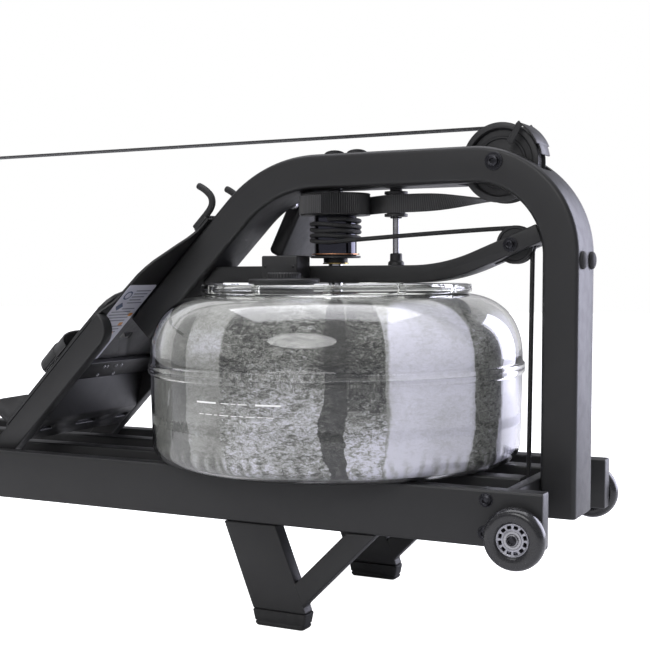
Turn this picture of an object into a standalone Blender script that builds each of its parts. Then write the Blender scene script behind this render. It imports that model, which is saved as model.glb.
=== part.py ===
"""Water-resistance rowing machine: steel frame, clear water tank, belt drive, foot station and sliding seat.

Metres, +Z up. +X points to the tank end, +Y is the rower's left. The origin is on the floor, in the middle of
the machine's length and width. Sizes named DX are distances ahead of the rails' front ends, and sizes
named DZ are heights above the rails' top faces.
"""

import math

import bmesh
import bpy
from mathutils import Vector

# ---------------------------------------------------------------- driving dimensions
GAP = 0.0003
RAIL_FRONT = 1.011
RAIL_REAR = -1.020
RAIL_TOP = 0.207
RAIL_HEIGHT = 0.070
RAIL_WIDTH = 0.025
RAIL_OUTER_Y = 0.161
RAIL_INNER_Y = RAIL_OUTER_Y - RAIL_WIDTH
INNER_RAIL_Y = 0.050
INNER_RAIL_WIDTH = 0.030
INNER_RAIL_HEIGHT = 0.050
CROSS_TUBE_DX = -0.058
CROSS_TUBE_LENGTH = 0.0165
REAR_TUBE_LENGTH = 0.025

ARCH_WIDTH = 0.080
ARCH_DEPTH = 0.047
ARCH_TOP_DZ = 0.423
ARCH_LEG_PLANE = 0.869
ARCH_POST_DX = -0.0175
ARCH_POST_FOOT_DZ = -0.053
ARCH_REAR_RADIUS = 0.1765
ARCH_FRONT_RADIUS = 0.1185
ARCH_CORNER = 0.006
ARCH_LEG_END = -0.478
ARCH_MID_DZ = ARCH_TOP_DZ - ARCH_DEPTH / 2
ARCH_UNDERSIDE_DZ = ARCH_TOP_DZ - ARCH_DEPTH

TANK_DX = -0.350
TANK_WALL = 0.004
TANK_SEGMENTS = 40
TANK_TOP_DZ = 0.232
COLLAR_RADIUS = 0.187

CROSSMEMBER_LOW_DZ = 0.247
CROSSMEMBER_DEPTH = 0.0235
CROSSMEMBER_WIDTH = 0.050
CROSSMEMBER_TOP_DZ = CROSSMEMBER_LOW_DZ + CROSSMEMBER_DEPTH
SHAFT_RADIUS = 0.010

BELT_WIDTH = 0.025
BELT_THICKNESS = 0.002
TOP_PULLEY_DX = -0.105
TOP_PULLEY_DZ = 0.402
TOP_PULLEY_RADIUS = 0.0516
TOP_BELT_RADIUS = 0.0465
PULLEY_AXLE_RADIUS = 0.005
DRUM_LOW_DZ = 0.340
DRUM_TOP_DZ = 0.3706
DRUM_BELT_RADIUS = 0.0488
IDLER_DX = -0.2638
IDLER_Y = 0.0141
IDLER_BELT_RADIUS = 0.0141
BELT_LOW_DZ = 0.3545

CORD_RADIUS = 0.0031
SPOOL_RADIUS = 0.0295
CORD_COIL_RADIUS = SPOOL_RADIUS + CORD_RADIUS + 3 * GAP
CORD_COIL_LOW_DZ = 0.3035
CORD_COIL_PITCH = 0.0078
BUNGEE_PULLEY_DX = -0.087
BUNGEE_PULLEY_DZ = 0.296
BUNGEE_PULLEY_RADIUS = 0.025
BUNGEE_CORD_RADIUS = 0.0222
LOWER_PULLEY_DX = -0.086
LOWER_PULLEY_DZ = -0.028
LOWER_PULLEY_RADIUS = 0.021
LOWER_CORD_RADIUS = 0.0182
CORD_ANCHOR_DX = -1.700

HANDLE_DX = -1.215
HANDLE_RADIUS = 0.0125
GRIP_RADIUS = 0.0165
GRIP_LENGTH = 0.170
HANDLE_HALF_WIDTH = 0.240
CLEVIS_LENGTH = 0.062

FOOT_HALF_WIDTH = 0.1357
STRUT_WIDTH = 0.0205
STRUT_DEPTH = 0.0345
STRUT_TOP = -0.325
STRUT_FOOT = -0.632
BOARD_THICKNESS = 0.004
BOARD_TOP = -0.136
BOARD_FOOT = -0.572
PAD_Y = 0.075

SEAT_DX = -1.320
SEAT_LENGTH = 0.240
SEAT_WIDTH = 0.300
SEAT_THICKNESS = 0.050
SEAT_WHEEL_RADIUS = 0.020
SEAT_WHEEL_REACH = 0.075
CARRIAGE_DZ = 0.046

WHEEL_DX = -0.029
WHEEL_DZ = -0.053
WHEEL_RADIUS = 0.038
WHEEL_WIDTH = 0.024
WHEEL_Y = 0.177

FRONT_LEG_TOP_DX = -0.4005
FRONT_LEG_FOOT_DX = -0.356
LEG_WIDTH = 0.0785
FOOT_HEIGHT = 0.022
BRACE_TOP_DX = -0.2365
BRACE_WIDTH = 0.041
REAR_LEG_DX = -1.905
REAR_FOOT_DX = -1.950

MONITOR_TILT = math.radians(63.6)
MONITOR_DX = -0.441
MONITOR_DZ = 0.361
MONITOR_Y = 0.052
MONITOR_WIDTH = 0.130

BLACK_PAINT = ((0.035, 0.035, 0.039), 0.42, 0.0)
BLACK_PLASTIC = ((0.020, 0.020, 0.022), 0.50, 0.0)
BLACK_RUBBER = ((0.018, 0.018, 0.019), 0.75, 0.0)
CLEAR_PLASTIC = ((0.86, 0.88, 0.87), 0.08, 0.0)
CHROME = ((0.80, 0.80, 0.82), 0.12, 1.0)
STEEL = ((0.55, 0.55, 0.56), 0.35, 1.0)
WEBBING = ((0.022, 0.022, 0.024), 0.85, 0.0)


# ---------------------------------------------------------------- shared modelling tools
def clear_scene():
    for old in list(bpy.data.objects):
        bpy.data.objects.remove(old, do_unlink=True)


def at(dx, y, dz):
    """A point given from the rails' front ends and top faces."""
    return Vector((RAIL_FRONT + dx, y, RAIL_TOP + dz))


def finish_of(name, look):
    colour, roughness, metallic = look
    material = bpy.data.materials.new(name)
    material.use_nodes = True
    shader = material.node_tree.nodes["Principled BSDF"]
    shader.inputs["Base Color"].default_value = (*colour, 1.0)
    shader.inputs["Roughness"].default_value = roughness
    shader.inputs["Metallic"].default_value = metallic
    return material


def make_object(name, bm, look, origin=(0.0, 0.0, 0.0), smooth_angle=40.0):
    """An object with its origin at the given point, from a bmesh in world coordinates."""
    origin = Vector(origin)
    bmesh.ops.translate(bm, verts=bm.verts, vec=-origin)
    bmesh.ops.recalc_face_normals(bm, faces=bm.faces)
    mesh = bpy.data.meshes.new(name)
    bm.to_mesh(mesh)
    bm.free()
    mesh.shade_smooth()
    mesh.set_sharp_from_angle(angle=math.radians(smooth_angle))
    mesh.materials.append(finish_of(name, look))
    obj = bpy.data.objects.new(name, mesh)
    obj.location = origin
    bpy.context.scene.collection.objects.link(obj)
    return obj


def bevel(obj, width, segments=1, angle=30.0):
    modifier = obj.modifiers.new("rounded_edges", "BEVEL")
    modifier.width = width
    modifier.segments = segments
    modifier.limit_method = "ANGLE"
    modifier.angle_limit = math.radians(angle)
    return obj


def join_solid(target, tool, operation):
    """A Boolean with a hidden tool object."""
    tool.hide_render = True
    tool.display_type = "WIRE"
    modifier = target.modifiers.new(tool.name, "BOOLEAN")
    modifier.operation = operation
    modifier.solver = "EXACT"
    modifier.object = tool
    return target


def box(name, low, high, look, origin=None, edge=0.0, segments=1):
    low, high = Vector(low), Vector(high)
    bm = bmesh.new()
    bmesh.ops.create_cube(bm, size=1.0)
    bmesh.ops.scale(bm, verts=bm.verts, vec=high - low)
    bmesh.ops.translate(bm, verts=bm.verts, vec=(low + high) / 2)
    obj = make_object(name, bm, look, (low + high) / 2 if origin is None else origin)
    return bevel(obj, edge, segments) if edge else obj


def prism(name, outline, low_y, high_y, look, origin=None, edge=0.0, segments=1):
    """An outline of (x, z) points, extruded from low_y to high_y."""
    bm = bmesh.new()
    face = bm.faces.new([bm.verts.new((x, low_y, z)) for x, z in outline])
    made = bmesh.ops.extrude_face_region(bm, geom=[face])
    moved = [part for part in made["geom"] if isinstance(part, bmesh.types.BMVert)]
    bmesh.ops.translate(bm, verts=moved, vec=(0.0, high_y - low_y, 0.0))
    centre = Vector((outline[0][0], (low_y + high_y) / 2, outline[0][1]))
    obj = make_object(name, bm, look, centre if origin is None else origin)
    return bevel(obj, edge, segments) if edge else obj


def lathe(name, profile, axis, origin, look, segments=24):
    """A closed (radius, height) profile turned about an axis through origin."""
    bm = bmesh.new()
    turn = Vector((0.0, 0.0, 1.0)).rotation_difference(Vector(axis)).to_matrix()
    rings = []
    for step in range(segments):
        angle = 2 * math.pi * step / segments
        ring = []
        for radius, height in profile:
            if radius == 0.0 and rings:
                ring.append(rings[0][len(ring)])
                continue
            point = Vector((radius * math.cos(angle), radius * math.sin(angle), height))
            ring.append(bm.verts.new(Vector(origin) + turn @ point))
        rings.append(ring)
    for step in range(segments):
        this, after = rings[step], rings[(step + 1) % segments]
        for index in range(len(profile)):
            follow = (index + 1) % len(profile)
            corners = [this[index], this[follow], after[follow], after[index]]
            corners = [c for n, c in enumerate(corners) if c not in corners[:n]]
            if len(corners) > 2:
                bm.faces.new(corners)
    return make_object(name, bm, look, origin)


def bridge(name, rings, look, origin, smooth_angle=40.0):
    """A closed solid through a row of equal rings of points, with flat ends."""
    bm = bmesh.new()
    loops = [[bm.verts.new(point) for point in ring] for ring in rings]
    for this, after in zip(loops, loops[1:]):
        for index in range(len(this)):
            follow = (index + 1) % len(this)
            bm.faces.new([this[index], this[follow], after[follow], after[index]])
    bm.faces.new(loops[0])
    bm.faces.new(loops[-1][::-1])
    return make_object(name, bm, look, origin, smooth_angle)


def rounded_section(width, depth, corner, steps=2):
    """Points of a rounded rectangle, as (across, up) pairs."""
    points = []
    for quadrant in range(4):
        side_x = 1 if quadrant in (0, 3) else -1
        side_y = 1 if quadrant in (0, 1) else -1
        for step in range(steps + 1):
            angle = math.pi / 2 * (quadrant + step / steps)
            points.append((side_x * (width / 2 - corner) + corner * math.cos(angle),
                           side_y * (depth / 2 - corner) + corner * math.sin(angle)))
    return points


def arc(centre_x, centre_z, radius, start, end, steps):
    """Points and headings along an arc in the XZ plane, angles in degrees from +X."""
    found = []
    for step in range(steps + 1):
        angle = math.radians(start + (end - start) * step / steps)
        turn = 1 if end > start else -1
        heading = (-math.sin(angle) * turn, math.cos(angle) * turn)
        found.append(((centre_x + radius * math.cos(angle), centre_z + radius * math.sin(angle)), heading))
    return found


def sweep(name, stations, section, look, origin):
    """A section carried along (point, heading) stations that lie in an XZ plane at y = 0."""
    rings = []
    for (x, z), (hx, hz) in stations:
        rings.append([Vector((x - hz * up, across, z + hx * up)) for across, up in section])
    return bridge(name, rings, look, origin)


def cylinder_tool(name, centre, axis, radius, length, segments=16):
    half = length / 2
    profile = [(0.0, -half), (radius, -half), (radius, half), (0.0, half)]
    return lathe(name, profile, axis, centre, STEEL, segments)


def tube(name, points, radius, look, origin):
    """A round cord along points, as a bevelled curve with filled ends."""
    curve = bpy.data.curves.new(name, "CURVE")
    curve.dimensions = "3D"
    curve.bevel_depth = radius
    curve.bevel_resolution = 2
    curve.use_fill_caps = True
    spline = curve.splines.new("POLY")
    spline.points.add(len(points) - 1)
    for point, place in zip(spline.points, points):
        point.co = (*(Vector(place) - Vector(origin)), 1.0)
    curve.materials.append(finish_of(name, look))
    obj = bpy.data.objects.new(name, curve)
    obj.location = origin
    bpy.context.scene.collection.objects.link(obj)
    return obj


def slope(along, off):
    """A point of the foot station: along runs up the 45 degree board, off stands out towards the rower."""
    base_x = (along * math.sqrt(2) - ARCH_LEG_PLANE) / 2
    base_z = (along * math.sqrt(2) + ARCH_LEG_PLANE) / 2
    return RAIL_FRONT + base_x - off / math.sqrt(2), RAIL_TOP + base_z + off / math.sqrt(2)


def slope_point(along, y, off):
    x, z = slope(along, off)
    return Vector((x, y, z))


SIDES = (("right", -1), ("left", 1))


# ---------------------------------------------------------------- frame
def make_rails():
    low_z = RAIL_TOP - RAIL_HEIGHT
    for side, sign in SIDES:
        ys = sorted((sign * RAIL_INNER_Y, sign * RAIL_OUTER_Y))
        box(f"main_rail_{side}", (RAIL_REAR, ys[0], low_z), (RAIL_FRONT, ys[1], RAIL_TOP), BLACK_PAINT,
            edge=0.003, segments=2)
        centre = sign * INNER_RAIL_Y
        half = INNER_RAIL_WIDTH / 2
        rear = RAIL_REAR + 0.010 + REAR_TUBE_LENGTH + GAP
        front = RAIL_FRONT + CROSS_TUBE_DX - GAP
        box(f"inner_rail_{side}", (rear, centre - half, RAIL_TOP - INNER_RAIL_HEIGHT),
            (front, centre + half, RAIL_TOP), BLACK_PAINT, edge=0.0025)


def make_cross_tubes():
    half = RAIL_INNER_Y - GAP
    rear = RAIL_FRONT + CROSS_TUBE_DX
    box("front_cross_tube", (rear, -half, RAIL_TOP - 0.055),
        (rear + CROSS_TUBE_LENGTH, half, RAIL_TOP - 0.003), BLACK_PAINT, edge=0.002)
    back = RAIL_REAR + 0.010
    box("rear_cross_tube", (back, -half, RAIL_TOP - RAIL_HEIGHT + 0.002),
        (back + REAR_TUBE_LENGTH, half, RAIL_TOP - 0.002), BLACK_PAINT, edge=0.002)


def make_arch():
    """One wide tube: up from the foot station at 45 degrees, over the tank and down to the front."""
    mid_plane = ARCH_LEG_PLANE - ARCH_DEPTH / math.sqrt(2)
    corner_x = ARCH_MID_DZ - mid_plane
    rear_x = corner_x + ARCH_REAR_RADIUS * math.tan(math.radians(22.5))
    leg_end = ((ARCH_LEG_END - mid_plane) / 2, (ARCH_LEG_END + mid_plane) / 2)
    diagonal = math.sqrt(0.5)
    front_x = ARCH_POST_DX - ARCH_FRONT_RADIUS
    rear = arc(rear_x, ARCH_MID_DZ - ARCH_REAR_RADIUS, ARCH_REAR_RADIUS, 135, 90, 7)
    front = arc(front_x, ARCH_MID_DZ - ARCH_FRONT_RADIUS, ARCH_FRONT_RADIUS, 90, 0, 12)
    stations = [(leg_end, (diagonal, diagonal))] + rear + front
    stations.append(((ARCH_POST_DX, ARCH_POST_FOOT_DZ), (0.0, -1.0)))
    stations = [((RAIL_FRONT + x, RAIL_TOP + z), heading) for (x, z), heading in stations]
    section = rounded_section(ARCH_WIDTH, ARCH_DEPTH, ARCH_CORNER)
    arch = sweep("arch_tube", stations, section, BLACK_PAINT, at(ARCH_POST_DX, 0, 0))
    slot = box("pulley_slot", at(-0.163, -0.0205, 0.290), at(-0.046, 0.0205, 0.440), STEEL)
    join_solid(arch, slot, "DIFFERENCE")
    axle = cylinder_tool("pulley_axle_hole", at(TOP_PULLEY_DX, 0, TOP_PULLEY_DZ), (0, 1, 0),
                         PULLEY_AXLE_RADIUS + GAP, 0.12)
    join_solid(arch, axle, "DIFFERENCE")


def make_crossmember():
    """The beam above the tank: flat, then rising to a fork that holds the cord's pulley."""
    rise = math.radians(22.0)
    radius = 0.230
    bend_x = -0.225
    low = [(CROSSMEMBER_LOW_DZ - ARCH_LEG_PLANE + ARCH_DEPTH * math.sqrt(2) + 0.0006, CROSSMEMBER_LOW_DZ)]
    top = [(CROSSMEMBER_TOP_DZ - ARCH_LEG_PLANE + ARCH_DEPTH * math.sqrt(2) + 0.0006, CROSSMEMBER_TOP_DZ)]
    centre_z = CROSSMEMBER_TOP_DZ + radius
    for step in range(7):
        angle = rise * step / 6
        low.append((bend_x + (radius + CROSSMEMBER_DEPTH) * math.sin(angle),
                    centre_z - (radius + CROSSMEMBER_DEPTH) * math.cos(angle)))
        top.append((bend_x + radius * math.sin(angle), centre_z - radius * math.cos(angle)))
    for edge, end_x in ((low, -0.0445), (top, -0.0535)):
        x, z = edge[-1]
        edge.append((end_x, z + (end_x - x) * math.tan(rise)))
    outline = [(RAIL_FRONT + x, RAIL_TOP + z) for x, z in low + top[::-1]]
    half = CROSSMEMBER_WIDTH / 2
    beam = prism("tank_crossmember", outline, -half, half, BLACK_PAINT, edge=0.002)
    fork = box("fork_slot", at(-0.118, -0.0105, 0.230), at(-0.0575, 0.0105, 0.360), STEEL)
    join_solid(beam, fork, "DIFFERENCE")
    axle = cylinder_tool("fork_axle_hole", at(BUNGEE_PULLEY_DX, 0, BUNGEE_PULLEY_DZ), (0, 1, 0),
                         PULLEY_AXLE_RADIUS + GAP, 0.10)
    join_solid(beam, axle, "DIFFERENCE")
    shaft = cylinder_tool("shaft_hole", at(TANK_DX, 0, CROSSMEMBER_LOW_DZ), (0, 0, 1), SHAFT_RADIUS + 0.0015,
                          0.10)
    join_solid(beam, shaft, "DIFFERENCE")


def make_front_legs():
    """A leaning leg and its 45 degree brace, cut from the same tube as the rails."""
    top_z = RAIL_TOP - RAIL_HEIGHT - GAP
    foot_z = FOOT_HEIGHT + GAP
    half = LEG_WIDTH / 2
    lean = (FRONT_LEG_FOOT_DX - FRONT_LEG_TOP_DX) / (top_z - foot_z)
    half_brace = BRACE_WIDTH / 2
    front_top = FRONT_LEG_TOP_DX + half
    upper_drop = (BRACE_TOP_DX - half_brace - front_top) / (1 + lean)
    lower_drop = (BRACE_TOP_DX + half_brace - front_top) / (1 + lean)
    outline = [
        (FRONT_LEG_TOP_DX - half, top_z),
        (FRONT_LEG_FOOT_DX - half, foot_z),
        (FRONT_LEG_FOOT_DX + half, foot_z),
        (front_top + lean * lower_drop, top_z - lower_drop),
        (BRACE_TOP_DX + half_brace, top_z),
        (BRACE_TOP_DX - half_brace, top_z),
        (front_top + lean * upper_drop, top_z - upper_drop),
        (front_top, top_z),
    ]
    outline = [(RAIL_FRONT + x, z) for x, z in outline]
    for side, sign in SIDES:
        ys = sorted((sign * (RAIL_INNER_Y + 0.001), sign * RAIL_OUTER_Y))
        prism(f"front_leg_{side}", outline, ys[0], ys[1], BLACK_PAINT, edge=0.002)


def make_rear_leg():
    """Two leaning legs under the rails with a tie tube between them."""
    top_z = RAIL_TOP - RAIL_HEIGHT - GAP
    foot_z = FOOT_HEIGHT + GAP
    half = LEG_WIDTH / 2 - 0.004
    outline = [(REAR_LEG_DX - half, top_z), (REAR_FOOT_DX - half, foot_z),
               (REAR_FOOT_DX + half, foot_z), (REAR_LEG_DX + half, top_z)]
    outline = [(RAIL_FRONT + x, z) for x, z in outline]
    leg = prism("rear_leg", outline, -RAIL_OUTER_Y, -RAIL_INNER_Y - 0.001, BLACK_PAINT)
    other = prism("rear_leg_left_half", outline, RAIL_INNER_Y + 0.001, RAIL_OUTER_Y, BLACK_PAINT)
    join_solid(leg, other, "UNION")
    middle = (REAR_LEG_DX + REAR_FOOT_DX) / 2
    tie = box("rear_tie_tube", (RAIL_FRONT + middle - 0.020, -0.150, 0.058),
              (RAIL_FRONT + middle + 0.020, 0.150, 0.098), BLACK_PAINT)
    join_solid(leg, tie, "UNION")
    bevel(leg, 0.002, 1)


def make_feet():
    """Rubber shoes, narrower at the floor."""
    places = (("front", FRONT_LEG_FOOT_DX, LEG_WIDTH / 2), ("rear", REAR_FOOT_DX, LEG_WIDTH / 2 - 0.004))
    for end, dx, half in places:
        for side, sign in SIDES:
            centre_y = sign * (RAIL_OUTER_Y - RAIL_WIDTH / 2)
            rings = []
            for height, shrink in ((0.0, 0.0045), (0.003, 0.003), (FOOT_HEIGHT, 0.0)):
                reach = half + 0.001 - shrink
                across = RAIL_WIDTH / 2 + 0.001 - shrink * 0.4
                corners = ((-1, -1), (1, -1), (1, 1), (-1, 1))
                rings.append([Vector((RAIL_FRONT + dx + a * reach, centre_y + b * across, height))
                              for a, b in corners])
            origin = (RAIL_FRONT + dx, centre_y, 0.0)
            bevel(bridge(f"{end}_foot_{side}", rings, BLACK_RUBBER, origin), 0.0012, 1, 40)


# ---------------------------------------------------------------- foot station
def sloped_block(name, along, off, ys, look, edge=0.0, segments=1):
    """A block square to the foot board, between pairs of along, off and y values."""
    corners = [slope(a, b) for a, b in ((along[0], off[0]), (along[1], off[0]), (along[1], off[1]),
                                        (along[0], off[1]))]
    return prism(name, corners, ys[0], ys[1], look, edge=edge, segments=segments)


def make_foot_frame():
    inner = FOOT_HALF_WIDTH - STRUT_WIDTH
    for side, sign in SIDES:
        round_end = [slope(STRUT_FOOT, -GAP), slope(STRUT_TOP, -GAP)]
        radius = STRUT_DEPTH * 0.8
        for step in range(1, 6):
            angle = math.pi / 2 * step / 5
            round_end.append(slope(STRUT_TOP - radius + radius * math.cos(angle),
                                   -STRUT_DEPTH + radius - radius * math.sin(angle)))
        low = slope(STRUT_FOOT, -STRUT_DEPTH)
        round_end.append(low)
        ys = sorted((sign * inner, sign * FOOT_HALF_WIDTH))
        prism(f"foot_strut_{side}", round_end, ys[0], ys[1], BLACK_PAINT, edge=0.0015)
    across = (-inner + GAP, inner - GAP)
    sloped_block("foot_cross_tube", (-0.465, -0.430), (-0.008, -GAP), across, BLACK_PAINT, 0.001)
    wedge = [slope(along, off) for along, off in ((-0.470, -GAP), (-0.564, -GAP), (-0.564, -0.0345),
                                                  (-0.519, -0.0345), (-0.470, -0.004))]
    prism("lower_cross_tube", wedge, across[0], across[1], BLACK_PAINT, edge=0.001)


def make_footboard():
    half_outline = [
        (BOARD_FOOT, 0.128), (BOARD_FOOT + 0.010, 0.135), (-0.345, 0.135), (-0.325, 0.128), (-0.305, 0.112),
        (-0.250, 0.105), (-0.222, 0.093), (-0.190, 0.067), (-0.170, 0.050), (-0.152, 0.0445),
        (BOARD_TOP, 0.0445),
    ]
    outline = half_outline + [(along, -y) for along, y in half_outline[::-1]]
    bm = bmesh.new()
    face = bm.faces.new([bm.verts.new(slope_point(along, y, GAP)) for along, y in outline])
    made = bmesh.ops.extrude_face_region(bm, geom=[face])
    moved = [part for part in made["geom"] if isinstance(part, bmesh.types.BMVert)]
    lift = slope_point(0, 0, BOARD_THICKNESS) - slope_point(0, 0, 0)
    bmesh.ops.translate(bm, verts=moved, vec=lift)
    make_object("footboard", bm, BLACK_PAINT, slope_point(BOARD_FOOT, 0, 0))


def heel_rise(along):
    """Height of the heel cup's wall, low at its front ends and full behind the heel."""
    part = min(1.0, max(0.0, (-0.512 - along) / 0.066))
    return 0.008 + 0.047 * part


def make_heel_cups():
    """Sliding foot plates, each with a curved wall behind the heel."""
    base = BOARD_THICKNESS + 2 * GAP
    for side, sign in SIDES:
        centre = sign * PAD_Y
        floor = [(-0.585, 0.040), (-0.555, 0.050), (-0.385, 0.050), (-0.325, 0.048), (-0.300, 0.036),
                 (-0.290, 0.018)]
        outline = floor + [(along, -y) for along, y in floor[::-1]]
        rings = []
        for off in (base, base + 0.006):
            rings.append([slope_point(along, centre + y, off) for along, y in outline])
        plate = bridge(f"heel_cup_{side}", rings, BLACK_PLASTIC, slope_point(-0.585, centre, base))
        path = [(-0.516, 1.0, 0.0), (-0.534, 1.0, 0.0)]
        for step in range(13):
            angle = math.pi * step / 12
            path.append((-0.552, math.cos(angle), math.sin(angle)))
        path += [(-0.534, -1.0, 0.0), (-0.516, -1.0, 0.0)]
        low, high = [], []
        for reach_y, reach_along in ((0.046, 0.040), (0.040, 0.034)):
            points = [(along - reach_along * back, reach_y * across, across, back) for along, across, back in path]
            if low:
                points = points[::-1]
            for along, y, across, back in points:
                rise = heel_rise(along)
                low.append(slope_point(along, centre + y, base + 0.001))
                high.append(slope_point(along - 0.2 * rise * back, centre + y + 0.1 * rise * across, base + rise))
        heel = bridge(f"heel_wall_{side}", [low, high], BLACK_PLASTIC, slope_point(-0.585, centre, base))
        join_solid(plate, heel, "UNION")


def make_foot_straps():
    """A webbing strap over each foot, held at both edges of the foot plate."""
    for side, sign in SIDES:
        centre = sign * PAD_Y
        rings = []
        for step in range(15):
            angle = math.pi * step / 14
            y = centre + 0.0555 * math.cos(angle)
            off = BOARD_THICKNESS + 2 * GAP + 0.032 * math.sin(angle) ** 0.75
            normal = Vector((math.cos(angle) / 0.0555, math.sin(angle) / 0.032)).normalized()
            ring = []
            for along, lift in ((-0.458, 0.0), (-0.402, 0.0), (-0.402, 0.0022), (-0.458, 0.0022)):
                ring.append(slope_point(along, y + normal.x * lift, off + normal.y * lift))
            rings.append(ring)
        bridge(f"foot_strap_{side}", rings, WEBBING, slope_point(-0.430, centre, 0.036), 60)


def make_handle_hooks():
    """Two rod hooks on a plate at the top of the foot board; the handle rests in them."""
    base = BOARD_THICKNESS + 2 * GAP
    plate = sloped_block("handle_hooks", (-0.166, -0.1365), (base, base + 0.0045), (-0.0445, 0.0445), BLACK_PAINT)
    section = [(0.005 * math.cos(math.pi * n / 4), 0.005 * math.sin(math.pi * n / 4)) for n in range(8)]
    route = [(-0.5575, 0.3263), (-0.5374, 0.3465), (-0.5305, 0.3555), (-0.5285, 0.3630), (-0.5305, 0.3710),
             (-0.5370, 0.3780), (-0.5450, 0.3835), (-0.5540, 0.3880)]
    for index, sign in enumerate((-1, 1)):
        rings = []
        for number, (x, z) in enumerate(route):
            before = route[max(number - 1, 0)]
            after = route[min(number + 1, len(route) - 1)]
            heading = Vector((after[0] - before[0], after[1] - before[1])).normalized()
            rings.append([at(x - heading.y * up, sign * 0.0385 + across, z + heading.x * up)
                          for across, up in section])
        hook = bridge(f"hook_rod_{index}", rings, BLACK_PAINT, at(-0.5575, sign * 0.0385, 0.3263))
        join_solid(plate, hook, "UNION")


# ---------------------------------------------------------------- tank and paddle
def shoulder(fraction, inset=0.0):
    """The tank's shoulder, from the wall (0) to the flat top (1)."""
    angle = math.pi / 2 * fraction
    radius = 0.1640 + (0.0965 - inset) * math.cos(angle) ** 0.8
    height = 0.1400 + (TANK_TOP_DZ - 0.1400 - inset) * math.sin(angle) ** 0.85
    return radius, height


def make_tank():
    origin = at(TANK_DX, 0, GAP)
    wall = TANK_WALL
    low = [(0.0, 0.0), (0.232, 0.0)]
    for step in range(1, 4):
        angle = math.pi / 2 * step / 3
        low.append((0.232 + 0.0265 * math.sin(angle), 0.0265 - 0.0265 * math.cos(angle)))
    low += [(0.2605, 0.122), (0.2635, 0.1235), (0.2635, 0.130), (0.2605 - wall, 0.130)]
    inner = []
    for step in range(4):
        angle = math.pi / 2 * step / 3
        inner.append((0.232 + 0.0225 * math.sin(angle), 0.0265 - 0.0225 * math.cos(angle)))
    low += inner[::-1] + [(0.0, wall)]
    lathe("tank_lower_shell", low, (0, 0, 1), origin, CLEAR_PLASTIC, TANK_SEGMENTS)

    steps = 5
    outer = [shoulder(step / steps) for step in range(steps + 1)]
    inside = [shoulder(step / steps, wall) for step in range(steps + 1)]
    bore = SHAFT_RADIUS + 0.0025
    seam = [(0.2605 - wall, 0.1306), (0.2635, 0.1306), (0.2635, 0.137)]
    upper = seam + outer + [(bore, TANK_TOP_DZ), (bore, TANK_TOP_DZ - wall)] + inside[::-1]
    lathe("tank_upper_shell", upper, (0, 0, 1), origin, CLEAR_PLASTIC, TANK_SEGMENTS)

    ring = [(0.168, 0.2325), (COLLAR_RADIUS, 0.2325), (COLLAR_RADIUS, 0.2400),
            (COLLAR_RADIUS - 0.002, 0.2415), (0.168, 0.2415)]
    lathe("tank_collar", ring, (0, 0, 1), origin, CLEAR_PLASTIC, TANK_SEGMENTS)

    cap = [(0.0, 0.2325), (0.040, 0.2325), (0.040, 0.2460), (0.0475, 0.2460), (0.0475, 0.2520),
           (0.046, 0.2530), (0.0225, 0.2530), (0.0225, 0.2612), (0.0, 0.2612)]
    lathe("filler_cap", cap, (0, 0, 1), at(-0.3715, -0.112, GAP), BLACK_PLASTIC, 24)


def make_impeller():
    """Six straight paddles on a hub, fixed to the upright shaft."""
    blades, hub, reach, half = 6, 0.030, 0.165, 0.004
    outline = []
    for blade in range(blades):
        turn = 2 * math.pi * blade / blades
        direction = Vector((math.cos(turn), math.sin(turn)))
        side = Vector((-direction.y, direction.x))
        base = math.sqrt(hub * hub - half * half)
        for distance, across in ((base, -half), (reach, -half), (reach, half), (base, half)):
            outline.append(direction * distance + side * across)
        between = turn + math.pi / blades
        outline.append(Vector((math.cos(between), math.sin(between))) * hub)
    centre = at(TANK_DX, 0, 0)
    rings = []
    for height in (0.030, 0.118):
        rings.append([Vector((centre.x + p.x, centre.y + p.y, RAIL_TOP + height)) for p in outline])
    paddle = bridge("impeller", rings, BLACK_PLASTIC, at(TANK_DX, 0, 0.030))
    hole = cylinder_tool("impeller_bore", at(TANK_DX, 0, 0.080), (0, 0, 1), SHAFT_RADIUS + GAP, 0.12)
    join_solid(paddle, hole, "DIFFERENCE")
    top = ARCH_UNDERSIDE_DZ - 2 * GAP
    shaft = [(0.0, 0.020), (SHAFT_RADIUS - 0.001, 0.020), (SHAFT_RADIUS, 0.021), (SHAFT_RADIUS, top),
             (0.0, top)]
    lathe("impeller_shaft", shaft, (0, 0, 1), at(TANK_DX, 0, 0), CHROME, 20)


# ---------------------------------------------------------------- drive
def make_drum_and_spool():
    bore = SHAFT_RADIUS + GAP
    rim = DRUM_BELT_RADIUS + 0.0004
    wound = DRUM_BELT_RADIUS - BELT_THICKNESS / 2 - GAP - 0.0001
    lip = 0.0015
    drum = [(bore, DRUM_LOW_DZ), (rim, DRUM_LOW_DZ), (rim, DRUM_LOW_DZ + lip), (wound, DRUM_LOW_DZ + lip),
            (wound, DRUM_TOP_DZ - lip), (rim, DRUM_TOP_DZ - lip), (rim, DRUM_TOP_DZ), (bore, DRUM_TOP_DZ)]
    lathe("belt_drum", drum, (0, 0, 1), at(TANK_DX, 0, 0), BLACK_PLASTIC, 32)
    low = CROSSMEMBER_TOP_DZ + 0.0025
    spool = [(bore, low), (0.017, low), (0.017, 0.282), (0.035, 0.282), (0.035, 0.285),
             (SPOOL_RADIUS, 0.2855), (SPOOL_RADIUS, DRUM_LOW_DZ - GAP), (bore, DRUM_LOW_DZ - GAP)]
    lathe("bungee_spool", spool, (0, 0, 1), at(TANK_DX, 0, 0), CHROME, 24)


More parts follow.
